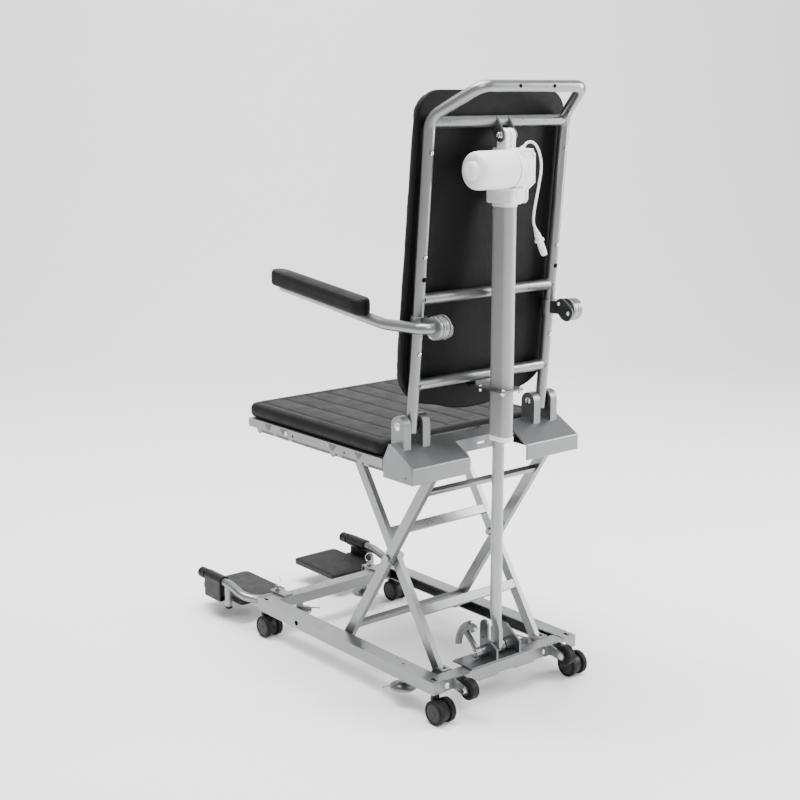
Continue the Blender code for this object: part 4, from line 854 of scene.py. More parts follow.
def upright_frame():
    place("bent_tube", made(sweep, frame_route(), TUBE, 36), "frame", "seat", "back_frame", even=False)
    for name, side in SIDES:
        foot = Vector((side * BACK_X, back_y(HINGE.z - 0.021), HINGE.z - 0.021))
        lean = Vector((0, LEAN, 1)).normalized()
        form = made(
            lathe, foot - lean * 0.0008, lean,
            [(0, 0.009), (0.0006, TUBE + 0.0002), (0.006, TUBE + 0.0003), (0.0064, TUBE - 0.0005)], 36
        )
        place(f"tube_plug_{name}", form, "black", "seat")
        form = bmesh.new()
        low, high = span(side, BACK_X - 0.015, BACK_X - 0.0112)
        rod_x(form, low, high, HINGE.y, HINGE.z, 0.0125, 32, 0.0006)
        low, high = span(side, BACK_X + 0.0112, BACK_X + 0.015)
        rod_x(form, low, high, HINGE.y, HINGE.z, 0.0125, 32, 0.0006)
        low, high = span(side, BACK_X - 0.015, BACK_X + 0.015)
        rod_x(form, low, high, HINGE.y, HINGE.z, 0.008, 32)
        place(f"hinge_bushing_{name}", form, "black", "seat")


def hole_shade_disc(name, at, direction, body, radius=0.0032, look="hole"):
    """A dark disc with a thin rolled rim that stands for a small hole: the hole's inside is painted shade."""
    direction = Vector(direction).normalized()
    form = bmesh.new()
    profile = [(-0.002, radius * 1.08), (0.0002, radius * 1.08), (0.0004, radius), (0.0003, radius * 0.8)]
    lathe(form, Vector(at), direction, profile + [(0.0003, 0)], 24)
    return place(name, form, look, body, sharp=35)


def cross(name, node, z, reach=0.003):
    """A cross tube, its ends sunk into a bead of weld on the uprights."""
    half = BACK_X - TUBE + reach
    place(name, made(rod_x, -half, half, back_y(z), z, TUBE, 36, 0), "frame", "seat", node)
    form = bmesh.new()
    for side in (-1, 1):
        ring = []
        for i in range(40):
            turn = math.tau * i / 40
            dy, dz = TUBE * math.cos(turn), TUBE * math.sin(turn)
            inset = math.sqrt(max(0, TUBE**2 - dy**2))
            ripple = 0.00025 * math.sin(turn * 20)
            x = side * (BACK_X - inset - 0.0006 + ripple)
            ring.append(Vector((x, back_y(z) + dy * 1.02, z + dz * 1.02)))
        sweep(form, ring, 0.0013, 8, closed=True)
    place(f"{name}_weld", form, "frame", "seat", even=False)


upright_frame()
cross("top_tube", "cross_tube_top", KNEE_Z - 0.008)
cross("middle_tube", "cross_tube_mid", 0.828)
cross("lower_tube", "cross_tube_low", 0.66)


# ---------------------------------------------------------------- actuator
TUBE_LOW, TUBE_HIGH = low_high("actuator_tube")
TUBE_MIDDLE = (TUBE_LOW.y + TUBE_HIGH.y) / 2
CLEVIS = Vector((0, 0.277, 1.131))
ROD_Y = 0.268
MOTOR = Vector((0.0213, 0.305, 1.069))
MOTOR_RADIUS = 0.0365


def section(grow=0.0):
    across, deep, corner = 0.015 + grow, 0.026 + grow, 0.014 + grow
    return rounded((-across, TUBE_MIDDLE - deep), (across, TUBE_MIDDLE + deep), corner, 10)


def column():
    """The actuator's tube with its end collar and wiper, and the rod."""
    low, high = TUBE_LOW.z + 0.009, TUBE_HIGH.z
    tube = place("column", made(slab, section(), "Z", low, high), "tube", "seat", "actuator_tube")
    carve(tube, made(rod, (0, ROD_Y, low - 0.02), (0, ROD_Y, high - 0.02), 0.0128, 40))
    form = made(slab, section(0.0015), "Z", low - 0.009, low + 0.001, 0.0012, 3, 40)
    collar = place("column_collar", form, "housing", "seat")
    carve(collar, made(rod, (0, ROD_Y, low - 0.02), (0, ROD_Y, low + 0.05), 0.0128, 40))
    form = made(lathe, (0, ROD_Y, low - 0.0096), (0, 0, 1), mm((0, 13.4), (0.8, 14.4), (2, 14.4)), 40)
    wiper = place("rod_wiper", form, "black", "seat")
    carve(wiper, made(rod, (0, ROD_Y, low - 0.02), (0, ROD_Y, low + 0.02), 0.0122, 56))
    form = made(slab, section(0.0012), "Z", high - 0.006, high, 0.0009, 2, 40)
    place("column_head", form, "housing", "seat")
    piston = finer("actuator_rod", "rod", 0)
    form = made(lathe, (0, ROD_Y, 0.176), (0, 0, 1), mm((0, 12.05), (300, 12.05)), 56)
    place("rod_sleeve", form, "rod", "base")
    return piston


def clevis():
    """Two plates from the top cross tube, with the bolt that the actuator hangs on."""
    start = (back_y(KNEE_Z) + 0.001, KNEE_Z - 0.01)
    form = bmesh.new()
    for low in (-0.0175, 0.0135):
        slab(form, stadium(start, (CLEVIS.y, CLEVIS.z), 0.0125, 18), "X", low, low + 0.004, 0.0006, 2, 40)
    place("clevis_plates", form, "dark", "seat")
    screw(
        "clevis_bolt", (0.0175, CLEVIS.y, CLEVIS.z), (1, 0, 0), "seat", 0.0062, 0.005, "steel", "socket",
        0.0085,
    )
    nut = (-0.0175, CLEVIS.y, CLEVIS.z)
    screw("clevis_nut", nut, (-1, 0, 0), "seat", 0.0068, 0.0046, "steel", "hex", 0.0085)
    form = bmesh.new()
    dome = mm((0, 5.2), (2, 5), (3.6, 3.8), (4.6, 1.8), (4.8, 0))
    lathe(form, (-0.0222, CLEVIS.y, CLEVIS.z), (-1, 0, 0), dome, 28)
    place("clevis_nut_cap", form, "steel", "seat")


def gearbox():
    """The white gear housing: a stepped body, its cover, the mounting lug and the cable's gland."""
    low, high = low_high("gearbox")
    bottom = low.z
    profile = [(0.2475, bottom + 0.0015), (0.3125, bottom + 0.0015), (0.318, bottom + 0.009), (0.318, 1.03)]
    profile += mm((336, 1044), (336, 1097.5), (330, 1104), (252, 1104), (247.5, 1099))
    middle = Vector((0.29, 1.055))
    waist = [tuple(middle + (Vector(spot) - middle) * 0.955) for spot in profile]
    for label, outline, low_x, high_x in (
        ("cover", profile, -0.0213, -0.0152),
        ("waist", waist, -0.0153, -0.0119),
        ("housing", profile, -0.012, 0.012),
    ):
        form = made(slab, outline, "X", low_x, high_x, 0.0016, 3, 20)
        body = place(f"gear_{label}", form, "housing", "seat", *(["gearbox"] if label == "housing" else []))
    form = made(block, (-0.01, 0.244, bottom), (0.0213, 0.317, 1.06), 0.0052, 4)
    place("gear_block", form, "housing", "seat")
    form = made(block, (-0.0188, 0.2485, 1.1015), (0.0098, 0.333, 1.1075), 0.0022, 3)
    lid = place("gear_lid", form, "housing", "seat")
    carve(lid, made(block, (-0.006, 0.3, 1.1045), (0.0015, 0.309, 1.12), 0.0008))
    for i, (y, z) in enumerate(((0.2545, 1.0125), (0.3105, 1.0125), (0.329, 1.05), (0.329, 1.096))):
        screw(f"cover_screw_{i}", (-0.0213, y, z), (-1, 0, 0), "seat", 0.0024, 0.0012, "steel", "socket")
    form = made(block, (-0.0238, 0.286, 1.093), (-0.019, 0.295, 1.105), 0.0012)
    place("cover_clip", form, "housing", "seat")
    form = bmesh.new()
    for low_x, high_x in ((-0.0132, -0.0015), (0.0015, 0.0132)):
        outline = stadium((CLEVIS.y, 1.098), (CLEVIS.y, CLEVIS.z), 0.0135, 18)
        slab(form, outline, "X", low_x, high_x, 0.0024, 4, 40)
    place("gear_lugs", form, "housing", "seat")
    form = bmesh.new()
    foot = Vector((-0.0165, 0.297, 1.099))
    tip = Vector(CABLE_ROUTE[0]) + Vector((0.0002, 0, -0.0002))
    reach = (tip - foot).length
    profile = [(0, 0.0078), (0.003, 0.0078), (0.0036, 0.007), (0.0037, 0.006), (reach * 0.55, 0.0054)]
    profile += [(reach - 0.0008, 0.0043), (reach, 0.0036), (reach, 0.00255)]
    lathe(form, foot, tip - foot, profile, 32)
    place("gland", form, "flex", "seat")


def motor():
    """The motor: a turned can with a joint ring at each end, a dished end cap and its stepped knob."""
    low, high = low_high("motor")
    start, end = low.x, high.x
    form = bmesh.new()
    r = MOTOR_RADIUS
    rim = [(0, r - 0.0012), (0.001, r), (0.0145, r), (0.0148, r - 0.0005), (0.0153, r - 0.0005), (0.0156, r)]
    body = [(end - start - 0.027, r - 0.0004), (end - start - 0.0265, r - 0.0009)]
    body += [(end - start - 0.0258, r - 0.0009), (end - start - 0.0254, r - 0.0005)]
    cap = mm(
        (19, 1), (15, 1.8), (12, 3.4), (10, 6), (9, 10), (8.8, 12.5), (10, 13.2), (10.3, 15), (10.2, 18.2),
    )
    knob = mm(
        (9.5, 18.7), (2.5, 19.7), (1.2, 20.6), (0.5, 23.2), (0, 24.5), (0, 30), (1.2, 30.4), (1.2, 36.5),
    )
    profile = rim + body + [(end - start - back, r - inward) for back, inward in cap + knob]
    lathe(form, (start, MOTOR.y, MOTOR.z), (1, 0, 0), profile, 72)
    place("motor_can", form, "housing", "seat", "motor", sharp=25)
    form = bmesh.new()
    flange = [(0, r - 0.004), (0, r + 0.0006), (0.001, r + 0.0015), (0.018, r + 0.0015), (0.0184, r + 0.0009)]
    flange += [(0.0192, r + 0.0009), (0.0196, r + 0.0015), (0.0345, r + 0.0015), (0.0352, r + 0.0008)]
    lathe(form, (-0.014, MOTOR.y, MOTOR.z), (1, 0, 0), flange + [(0.0352, r - 0.004)], 72)
    place("motor_flange", form, "housing", "seat", sharp=25)
    place("motor_ledge", made(block, (0.001, 0.262, 1.029), (0.03, 0.33, 1.0345), 0.001), "housing", "seat")


column()
clevis()
gearbox()
motor()


# ---------------------------------------------------------------- seat
def dome(name, at, direction, body, radius=0.0042, look="steel"):
    """A polished dome screw with a small socket."""
    form = bmesh.new()
    profile = [(-0.001, radius * 1.25), (0.0004, radius * 1.22), (0.0006, radius), (0.0014, radius * 0.97)]
    profile += [
        (0.0024, radius * 0.8), (0.003, radius * 0.52), (0.0031, radius * 0.42), (0.0016, radius * 0.38)
    ]
    lathe(form, Vector(at), Vector(direction), profile + [(0.0016, 0)], 28)
    return place(name, form, look, body, sharp=35)


SCREW_HEIGHTS = (0.724, 0.8675, 0.9095, 1.102)
finer("seat_tray", "frame", 0.001, 2)
finer("seat_rear", "cast", 0.0019, 4)
for name, side in SIDES:
    finer(f"seat_channel_{name}", "dark", 0.0005, 1)
    for low_or_high, x in (("in", BACK_X - 0.0151 - 0.0185), ("out", BACK_X + 0.0151 + 0.0185)):
        facing = (-side, 0, 0) if low_or_high == "in" else (side, 0, 0)
        at = (side * x, HINGE.y, HINGE.z)
        dome(f"hinge_bolt_{low_or_high}_{name}", at, facing, "seat", 0.0068)
    for i, z in enumerate(SCREW_HEIGHTS):
        at = Vector((side * BACK_X, back_y(z), z))
        out = Vector((0, 1, -LEAN)).normalized()
        # painted shade: a dark disc under each screw stands for the shade in its recess
        hole_shade_disc(f"back_recess_shade_{name}_{i}", at + out * (TUBE - 0.0002), out, "seat", 0.0046)
        if i != 1:
            dome(f"back_screw_{name}_{i}", at + out * (TUBE + 0.0001), out, "seat", 0.0034)
    hole_shade_disc(f"handle_hole_{name}", (side * 0.044, HANDLE_Y + TUBE, HANDLE_Z), (0, 1, 0), "seat", 0.0034)

for i, (x, y) in enumerate(((-0.024, 0.238), (0.024, 0.238), (-0.024, 0.303), (0.024, 0.303))):
    dome(f"guide_screw_{i}", (x, y, 0.643), (0, 0, 1), "seat", 0.0036)
    screw(f"guide_nut_{i}", (x, y, 0.639), (0, 0, -1), "seat", 0.0042, 0.0065, "steel", "hex")
form = bmesh.new()
PLATE_TOP = 0.643
GUIDE_REAR = TUBE_MIDDLE + 0.026 + 0.008
slab(
    form, rounded((-0.03, 0.202), (0.03, GUIDE_REAR), 0.006, 6), "Z", PLATE_TOP - 0.004, PLATE_TOP, 0.0008,
    2,
)
plate = place("guide_plate", form, "plate", "seat")
carve(plate, made(slab, section(0.0006), "Z", PLATE_TOP - 0.02, PLATE_TOP + 0.02))
form = made(
    block, (-0.02, back_y(0.66) - 0.006, PLATE_TOP - 0.001), (0.02, back_y(0.66) + 0.006, 0.655), 0.0015
)
place("guide_stand", form, "frame", "seat")


def tray_trim(name, side):
    """Pressed pockets, each a dark plate of painted shade, and folded tabs along the tray's side lip, with
    the clip bolts in them.
    """
    edge = side * (SEAT_HIGH.x + 0.0062)
    low, high = sorted((edge - side * 0.002, edge + side * 0.0003))
    for i, y in enumerate((-0.222, -0.166, 0.006, 0.092)):
        form = bmesh.new()
        # painted shade: each pocket is a dark plate on the lip, standing for the shade inside the pressed
        # pocket
        outline = [(y, 0.5135), (y + 0.028, 0.5135), (y + 0.017, 0.5005), (y + 0.011, 0.5005)]
        slab(form, outline, "X", low, high, 0.0004, 1)
        place(f"tray_pocket_shade_{name}_{i}", form, "dark", "seat")
        form = bmesh.new()
        fold = [(y + 0.03, 0.5), (y + 0.046, 0.5), (y + 0.043, 0.4915), (y + 0.033, 0.4915)]
        near, far = sorted((edge - side * 0.003, edge - side * 0.0006))
        slab(form, fold, "X", near, far, 0.0006, 1)
        place(f"tray_fold_{name}_{i}", form, "frame", "seat")
    dome(f"tray_clip_{name}", (edge + side * 0.0002, -0.142, 0.506), (side, 0, 0), "seat", 0.004)


# ---------------------------------------------------------------- base and scissor
for name, side in SIDES:
    tray_trim(name, side)
    finer(f"base_rail_{name}", "frame", 0.0009, 2)
    finer(f"pivot_bracket_{name}", "frame", 0.0008, 2)
    finer(f"tip_fork_{name}", "frame", 0.0008, 2)
    finer(f"inner_arm_{name}", "frame", 0.001, 2)
    finer(f"outer_arm_{name}", "frame", 0.001, 2)
    finer(f"lock_pin_{name}", "zinc", 0.0005, 1)
    for end in ("front", "rear"):
        finer(f"caster_fork_{end}_{name}", "black", 0.0005)
for node in ("front_beam", "rear_beam", "inner_bar_low", "inner_bar_high", "outer_bar_low", "outer_bar_high"):
    finer(node, "frame", 0.0009, 2)
finer("latch_base", "plate", 0.0006, 2)
finer("latch_lever", "cast", 0.001, 2)
form = bmesh.new()
slab(
    form, arc((LATCH.y, LATCH.z), 0.064, 116, 178, 16) + arc((LATCH.y, LATCH.z), 0.056, 176, 120, 16), "X",
    0.0543, 0.0556, 0.0005,
)
slab(
    form, stadium((LATCH.y - 0.004, LATCH.z + 0.004), (LATCH.y - 0.034, LATCH.z + 0.032), 0.0024, 6), "X",
    0.0543, 0.0566, 0.0006,
)
place("lever_rib", form, "cast", "latch")
hole_shade_disc("lever_hole", (0.0545, LATCH.y - 0.0585, LATCH.z + 0.014), (1, 0, 0), "latch", 0.003)
screw("lever_nut", (0.061, LATCH.y, LATCH.z), (1, 0, 0), "latch", 0.0075, 0.0048, "steel", "hex", 0.0098)


def rail_trim(name, side):
    """Closed ends, the holes in the rail, and on the right a foam buffer in its channel."""
    low_x, high_x = span(side, RAIL_IN, HALF)
    for label, end in (("front", -1), ("rear", 1)):
        y = end * END
        form = bmesh.new()
        near, far = min(y, y - end * 0.0022), max(y, y - end * 0.0022)
        block(
            form, (low_x + 0.0008, near, RAIL_BOTTOM + 0.0008), (high_x - 0.0008, far, RAIL_TOP - 0.0008),
            0.0009,
        )
        place(f"rail_end_{label}_{name}", form, "frame", "base")
        hole_shade_disc(
            f"rail_hole_{label}_{name}", (side * 0.186, end * 0.288, RAIL_TOP), (0, 0, 1), "base", 0.0038
        )
    hole_shade_disc(f"rail_side_hole_{name}", (side * HALF, -0.154, 0.071), (side, 0, 0), "base", 0.0055)
    if side < 0:
        form = made(
            block, (low_x + 0.003, 0.13, RAIL_BOTTOM + 0.003), (high_x - 0.001, 0.215, RAIL_TOP - 0.003),
            0.002
        )
        place("rail_buffer", form, "black", "base")


def caster_wheels(end, name, side, fore):
    """A pair of wheels: a rounded tread with a dished face and a paler hub disc on each."""
    hub = side * 0.186
    centre = Vector((hub, fore * 0.295 + 0.016, 0.025))
    body = f"wheels_{end}_{name}"
    tread = mm(
        (0, 12), (0, 22.2), (0.5, 23.6), (1.6, 24.6), (3.4, 25), (9.6, 25), (11.4, 24.6), (12.5, 23.6),
        (13, 22.2), (13, 20), (12.1, 19.4), (11.9, 18), (11.9, 0),
    )
    disc = mm(
        (10.5, 18.2), (12.1, 18), (12.6, 17), (12.7, 10), (12.1, 9.4), (12, 6), (13, 5.5), (13.4, 4),
        (13.4, 0),
    )
    form = bmesh.new()
    faces = bmesh.new()
    for way in (-1, 1):
        start = centre + Vector((way * (0.0145 - 0.0065), 0, 0))
        lathe(form, start, (way, 0, 0), tread, 48)
        lathe(faces, start, (way, 0, 0), disc, 40)
    rod_x(form, centre.x - 0.0085, centre.x + 0.0085, centre.y, centre.z, 0.0039, 20)
    place(f"caster_tread_{end}_{name}", form, "tread", body, f"caster_wheels_{end}_{name}", sharp=30)
    place(f"caster_hub_{end}_{name}", faces, "hub", body, sharp=30)


def screw_foot(end, name, x, y, heading):
    """A screw-down foot: a pressed disc, a hub, a threaded stem and a bar to turn it by."""
    form = bmesh.new()
    profile = mm(
        (0, 25), (0.6, 27.4), (1.6, 28), (4.4, 28), (5.6, 27.2), (6.2, 25.5), (6.4, 17), (7.2, 15.8),
        (12, 7.8), (13.2, 6.2), (15, 6), (15.2, 4.2),
    )
    z = 0.0156
    top = BEAM_TOP - 0.033
    while z + 0.0016 < top:
        profile += [(z, 0.0041), (z + 0.0008, 0.0035)]
        z += 0.0016
    profile += [(top, 0.0038), (top, 0)]
    lathe(form, (x, y, 0.033), (0, 0, 1), profile, 36)
    place(f"foot_disc_{end}_{name}", form, "cast", f"foot_{end}_{name}", f"foot_{end}_{name}", sharp=35)
    form = bmesh.new()
    start = Vector((x, y, 0.042))
    turn = math.radians(heading)
    reach = Vector((math.cos(turn), math.sin(turn), 0)) * 0.0468
    rod(form, start, start + reach, 0.0016, 16, 0.0004)
    lathe(form, start + reach * 0.93, reach, mm((0, 1.6), (0.4, 2.1), (2.6, 2.1), (3.2, 1.4), (3.2, 0)), 20)
    place(f"foot_bar_{end}_{name}", form, "zinc", f"foot_{end}_{name}")


def transport_wheel(name, side):
    centre = Vector((side * 0.135, 0.338, 0.066))
    form = bmesh.new()
    profile = mm(
        (-9.8, 4.5), (-9.8, 17.5), (-9, 19.5), (-7, 21), (7, 21), (9, 19.5), (9.8, 17.5), (9.8, 4.5),
    )
    lathe(form, centre, (1, 0, 0), profile, 48)
    place(f"tip_tread_{name}", form, "tread", f"tip_wheel_{name}", f"tip_wheel_{name}", sharp=35)
    for way in (-1, 1):
        at = centre + Vector((way * 0.0138, 0, 0))
        screw(
            f"tip_bolt_{name}_{'in' if way * side < 0 else 'out'}", at, (way, 0, 0), "base", 0.0055, 0.0034,
            "steel", "hex", 0.007,
        )
    for i, out in enumerate((-0.0285, 0.0285)):
        dome(f"beam_bolt_{name}_{i}", (centre.x + out, END, 0.07), (0, 1, 0), "base", 0.0052)


STIRRUP_X = 0.211
STIRRUP_Z = 0.093
LOCK_X = 0.135


def footrest(name, side):
    """The bent footrest tube with its stub and end grip, and the ribbed plate that flips up."""
    x = side * STIRRUP_X
    corners = [
        (x, -0.52, STIRRUP_Z), (x, -0.4, STIRRUP_Z), (x, -0.318, 0.074),
        (side * (LOCK_X - 0.01), -0.318, 0.074),
    ]
    form = made(sweep, bent(corners, (0.06, 0.045), 4), 0.0095, 32)
    place(f"stirrup_{name}", form, "frame", "base", f"footrest_tube_{name}", even=False)
    form = made(lathe, (x, -0.41, 0.04), (0, 0, 1), mm((0, 7.8), (0.6, 8.5), (53, 8.5)), 32)
    place(f"stirrup_stub_{name}", form, "frame", "base")
    form = made(lathe, (x, -0.41, 0.034), (0, 0, 1), mm((0, 7), (1, 8.6), (6, 8.8), (6.4, 8)), 32)
    place(f"stirrup_foot_{name}", form, "black", "base")
    form = bmesh.new()
    rings = mm(
        (0, 8.5), (1, 11.2), (2.6, 12.4), (7, 12.5), (7.6, 11.6), (8.8, 11.6), (9.4, 12.5), (14.2, 12.5),
        (14.8, 11.6), (16, 11.6), (16.6, 12.5), (24.4, 12.5), (25.8, 11.2), (26, 9.6),
    )
    lathe(form, (x, -0.526, STIRRUP_Z), (0, 1, 0), rings, 40)
    place(f"stirrup_grip_{name}", form, "black", "base", sharp=30)
    body = f"footplate_{name}"
    form = bmesh.new()
    sleeve = mm(
        (0, 10), (0, 13), (1, 14), (5, 14), (5.6, 13.4), (6.8, 13.4), (7.4, 14), (67, 14), (68, 13),
        (68, 10),
    )
    lathe(form, (x, -0.494, STIRRUP_Z), (0, 1, 0), sleeve, 40)
    place(f"plate_sleeve_{name}", form, "black", body, sharp=35)
    form = bmesh.new()
    low_x, high_x = span(side, STIRRUP_X + 0.0005, STIRRUP_X + 0.0135)
    block(form, (low_x, -0.4935, 0.046), (high_x, -0.4265, STIRRUP_Z - 0.002), 0.0024, 3)
    low_x, high_x = span(side, STIRRUP_X - 0.0122, STIRRUP_X + 0.012)
    block(form, (low_x, -0.4935, 0.0462), (high_x, -0.4265, 0.0598), 0.0018, 2)
    place(f"plate_web_{name}", form, "black", body)
    outer, inner = STIRRUP_X - 0.0125, STIRRUP_X - 0.141
    front, rear = -0.545, -0.375
    edge = arc((outer - 0.01, rear - 0.01), 0.01, 0, 90, 6) + arc(
        (inner + 0.012, rear - 0.012), 0.012, 90, 172, 6
    )
    edge += [(inner, (front + rear) / 2)]
    edge += arc(
        (inner + 0.012, front + 0.012), 0.012, 188, 270, 6
    ) + arc((outer - 0.01, front + 0.01), 0.01, 270, 360, 6)
    form = made(slab, [(side * u, v) for u, v in edge], "Z", 0.046, 0.0592, 0.0022, 3, 20)
    place(f"plate_tread_{name}", form, "black", body, f"footplate_{name}")
    ribs(name, side, [(u, v) for u, v in edge], body)


def ribs(name, side, edge, body):
    """Close diagonal ribs over the plate, each cut off a little inside its edge, coloured paler than the
    plate as a painted highlight on the rib tops.
    """
    form = bmesh.new()
    step, width, tall, inset = 0.0056, 0.0026, 0.0012, 0.0065
    along = Vector((1, 1)).normalized()
    across = Vector((-along.y, along.x))
    middle = Vector((sum(u for u, _ in edge), sum(v for _, v in edge))) / len(edge)
    for i in range(-26, 27):
        base = middle + across * (step * i)
        hits = []
        for start, end in zip(edge, edge[1:] + edge[:1]):
            a, b = Vector(start) - base, Vector(end) - base
            side_a, side_b = a.dot(across), b.dot(across)
            if side_a * side_b < 0:
                hits.append((a.lerp(b, side_a / (side_a - side_b))).dot(along))
        if len(hits) < 2 or max(hits) - min(hits) < 2 * inset + 0.006:
            continue
        first, last = base + along * (min(hits) + inset), base + along * (max(hits) - inset)
        outline = stadium(first, last, width / 2, 3)
        slab(form, [(side * u, v) for u, v in outline], "Z", 0.0588, 0.0592 + tall, 0.0003, 1, 40)
    # painted highlight: the ribs take the paler hub black, though they are moulded with the plate
    place(f"plate_ribs_{name}", form, "hub", body)


def pull_ring(name, side):
    """The wire ring that stands on the lock pin."""
    centre = Vector((side * LOCK_X, -0.318, 0.1075))
    tilt = math.radians(20 * side)
    ring = []
    for i in range(40):
        turn = math.tau * i / 40
        out = Vector((math.cos(turn) * math.cos(tilt), math.cos(turn) * math.sin(tilt), math.sin(turn)))
        ring.append(centre + out * 0.0105)
    form = made(sweep, ring, 0.0008, 10, closed=True)
    place(f"pull_ring_{name}", form, "steel", f"lock_pin_{name}", even=False)


def arm_bracket(name, side):
    """The clamp on the upright, and the discs and dark inner plate that the armrest turns against."""
    y, z = ARM_PIVOT.y, ARM_PIVOT.z
    form = bmesh.new()
    for low, high, radius in ((0.164, 0.1668, 0.0236), (0.1666, 0.1684, 0.02), (0.1682, 0.1771, 0.0228)):
        rod_x(form, *span(side, low, high), y, z, radius, 48, 0.0008)
    lean = Vector((0, LEAN, 1)).normalized()
    middle = Vector((side * BACK_X, back_y(z), z))
    clamp = [(-0.015, TUBE + GAP), (-0.015, TUBE + 0.003), (-0.0142, TUBE + 0.0038)]
    clamp += [(0.0142, TUBE + 0.0038), (0.015, TUBE + 0.003), (0.015, TUBE + GAP)]
    lathe(form, middle, lean, clamp, 40)
    block(
        form, (min(span(side, 0.1665, 0.1765)), back_y(z) + 0.013, z - 0.012),
        (max(span(side, 0.1665, 0.1765)), y, z + 0.014), 0.0012,
    )
    place(f"arm_clamp_{name}", form, "frame", "seat", f"arm_bracket_{name}")
    form = bmesh.new()
    plate = stadium((y - 0.01, z + 0.006), (y + 0.006, z - 0.004), 0.0165, 14)
    slab(form, plate, "X", *span(side, 0.1585, 0.164), 0.001, 2, 30)
    place(f"arm_plate_{name}", form, "dark", "seat")
    for i, (dy, dz) in enumerate(((-0.016, 0.011), (0.01, -0.006))):
        dome(f"bracket_bolt_{name}_{i}", (side * 0.1585, y + dy, z + dz), (-side, 0, 0), "seat", 0.0044)


def armrest(name, side):
    """The folding arm: hub discs on the bracket, the bent tube, and the sewn pad with its screws."""
    body = f"armrest_{name}"
    x = side * 0.2105
    y, z = ARM_PIVOT.y, ARM_PIVOT.z
    form = bmesh.new()
    corners = [(side * 0.185, y, z), (x, y, z), (x, 0.17, 0.7775), (x, -0.165, 0.815)]
    sweep(form, bent(corners, (0.022, 0.12), 4), TUBE, 36)
    place(f"arm_tube_{name}", form, "frame", body, f"armrest_tube_{name}", even=False)
    form = bmesh.new()
    for low, high, radius in ((0.1774, 0.1822, 0.023), (0.182, 0.1832, 0.0205), (0.183, 0.19, 0.0225)):
        rod_x(form, *span(side, low, high), y, z, radius, 48, 0.0009)
    place(f"arm_hub_{name}", form, "frame", body)
    screw(
        f"arm_bolt_{name}", (side * 0.196, y, z - 0.0165), (side, 0, 0), body, 0.0026, 0.0016, "steel",
        "socket",
    )
    arm_bracket(name, side)
    front, rear = Vector((-0.178, 0.829)), Vector((0.126, 0.7965))
    slope = (rear.y - front.y) / (rear.x - front.x)
    tilt = Matrix(((1, 0, 0, 0), (0, 1, 0, 0), (0, slope, 1, front.y - slope * front.x), (0, 0, 0, 1)))
    middle = side * 0.221
    outline = rounded((middle - 0.0212, front.x + 0.001), (middle + 0.0212, rear.x - 0.001), 0.02, 10)
    form = bmesh.new()
    slab(form, outline, "Z", -0.008, 0.024, 0.0066, 5, 40)
    bmesh.ops.transform(form, matrix=tilt, verts=form.verts)
    pad = place(f"arm_pad_{name}", form, "vinyl", body, f"armrest_pad_{name}", even=False)

    def held(spot):
        above = spot.z - (front.y + slope * (spot.y - front.x))
        return 1.0 if above < 0.01 else 0.0

    cushion_sim(pad, held, 4.0, 0.0032, 0.0028)
    form = bmesh.new()
    groove = [Vector((x, -0.3, 0.815 + 0.135 * 0.112)), Vector((x, 0.3, 0.815 - 0.465 * 0.112))]
    sweep(form, groove, TUBE + GAP, 36)
    carve(pad, form)
    form = bmesh.new()
    welt = rounded((middle - 0.0178, front.x + 0.0045), (middle + 0.0178, rear.x - 0.0045), 0.0168, 10)
    loop = surface_line(pad, [tilt @ Vector((u, v, 0.06)) for u, v in welt], (0, 0, -1), 0.0)
    if len(loop) > 8:
        sweep(form, loop, 0.0009, 8, closed=True)
        place(f"arm_welt_{name}", form, "vinyl", body, even=False)
    else:
        form.free()
    for i, along in enumerate((-0.105, 0.045)):
        low = 0.815 - 0.112 * (along + 0.165) - TUBE
        dome(f"pad_screw_{name}_{i}", (x, along, low), (0, 0, -1), body, 0.0038)


FEET = {"front": {"left": 140, "right": 100}, "rear": {"left": -15, "right": -80}}
for name, side in SIDES:
    rail_trim(name, side)
    transport_wheel(name, side)
    footrest(name, side)
    pull_ring(name, side)
    armrest(name, side)
    for end, fore in (("front", -1), ("rear", 1)):
        caster_wheels(end, name, side, fore)
    screw_foot("front", name, side * 0.094, -END + BEAM / 2, FEET["front"][name])
    screw_foot("rear", name, side * (RAIL_IN + HALF) / 2, 0.192, FEET["rear"][name])


# ---------------------------------------------------------------- light and floor
def softbox(name, at, aim, size, power):
    data = bpy.data.lights.new(name, "AREA")
    data.shape = "RECTANGLE"
    data.size, data.size_y = size
    data.energy = power
    lamp = add(name, data)
    lamp.location = at
    lamp.rotation_mode = "QUATERNION"
    lamp.rotation_quaternion = (Vector(aim) - Vector(at)).to_track_quat("-Z", "Y")


HORIZON = 0.55
ZENITH = 0.85
KEY = 45
EDGE = 130
TOP = 190
WALL = 240
FLOOR_FAR = 3.2
WALL_BEND = 2.0
FLOOR_HALF = 12


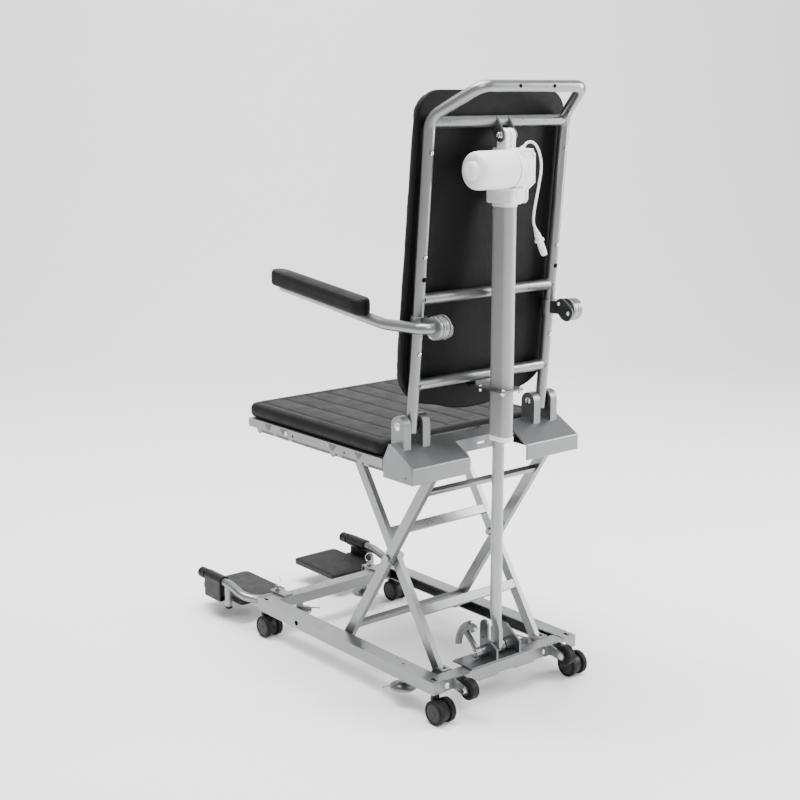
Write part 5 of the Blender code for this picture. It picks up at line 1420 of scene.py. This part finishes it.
def surroundings():
    """Soft studio light from above and from behind the chair, over a plain pale floor."""
    world = bpy.data.worlds.new("studio")
    bpy.context.scene.world = world
    world.use_nodes = True
    tree = world.node_tree
    sky = tree.nodes["Background"]
    place_node = tree.nodes.new("ShaderNodeTexCoord")
    part_node = tree.nodes.new("ShaderNodeSeparateXYZ")
    ramp = tree.nodes.new("ShaderNodeMapRange")
    for key, value in (("From Min", -0.1), ("From Max", 0.9), ("To Min", HORIZON), ("To Max", ZENITH)):
        ramp.inputs[key].default_value = value
    tree.links.new(place_node.outputs["Generated"], part_node.inputs[0])
    tree.links.new(part_node.outputs["Z"], ramp.inputs["Value"])
    tree.links.new(ramp.outputs["Result"], sky.inputs["Strength"])
    sky.inputs["Color"].default_value = (1, 1, 1, 1)
    softbox("key", (1.3, 3.0, 2.9), (0, 0.1, 0.7), (1.3, 1.3), KEY)
    softbox("edge", (-2.6, 1.7, 1.5), (0, 0.1, 0.7), (0.9, 2.2), EDGE)
    softbox("top", (0.2, 0.2, 3.6), (0, 0.1, 0.6), (2.6, 2.6), TOP)
    softbox(
        "wall", (0.9, -0.9, 4.2), (2.2 * math.sin(math.radians(EYE_TURN + 180)), -3.4, 1.0), (3.0, 1.0),
        WALL,
    )
    turn = math.radians(EYE_TURN)
    away, across = Vector((-math.sin(turn), math.cos(turn), 0)), Vector((math.cos(turn), math.sin(turn), 0))
    profile = [(-FLOOR_HALF, 0.0), (FLOOR_FAR, 0.0)]
    profile += [(FLOOR_FAR + u, WALL_BEND + v) for u, v in arc((0, 0), WALL_BEND, -90, 0, 24)]
    profile += [(FLOOR_FAR + WALL_BEND, FLOOR_HALF)]
    form = bmesh.new()
    rows = [
        [form.verts.new(away * u + across * side * FLOOR_HALF + Vector((0, 0, v))) for side in (-1, 1)]
        for u, v in profile
    ]
    for near, far in zip(rows, rows[1:]):
        form.faces.new((near[0], near[1], far[1], far[0]))
    for face in form.faces:
        face.smooth = True
    mesh = bpy.data.meshes.new("floor")
    form.to_mesh(mesh)
    form.free()
    floor = add("floor", mesh)
    graph = Graph("studio_floor")
    tone = graph.mix(graph.noise(2.5), (0.94, 0.94, 0.94, 1), (0.96, 0.96, 0.96, 1))
    mesh.materials.append(graph.set(Base_Color=tone, Roughness=0.7))


surroundings()
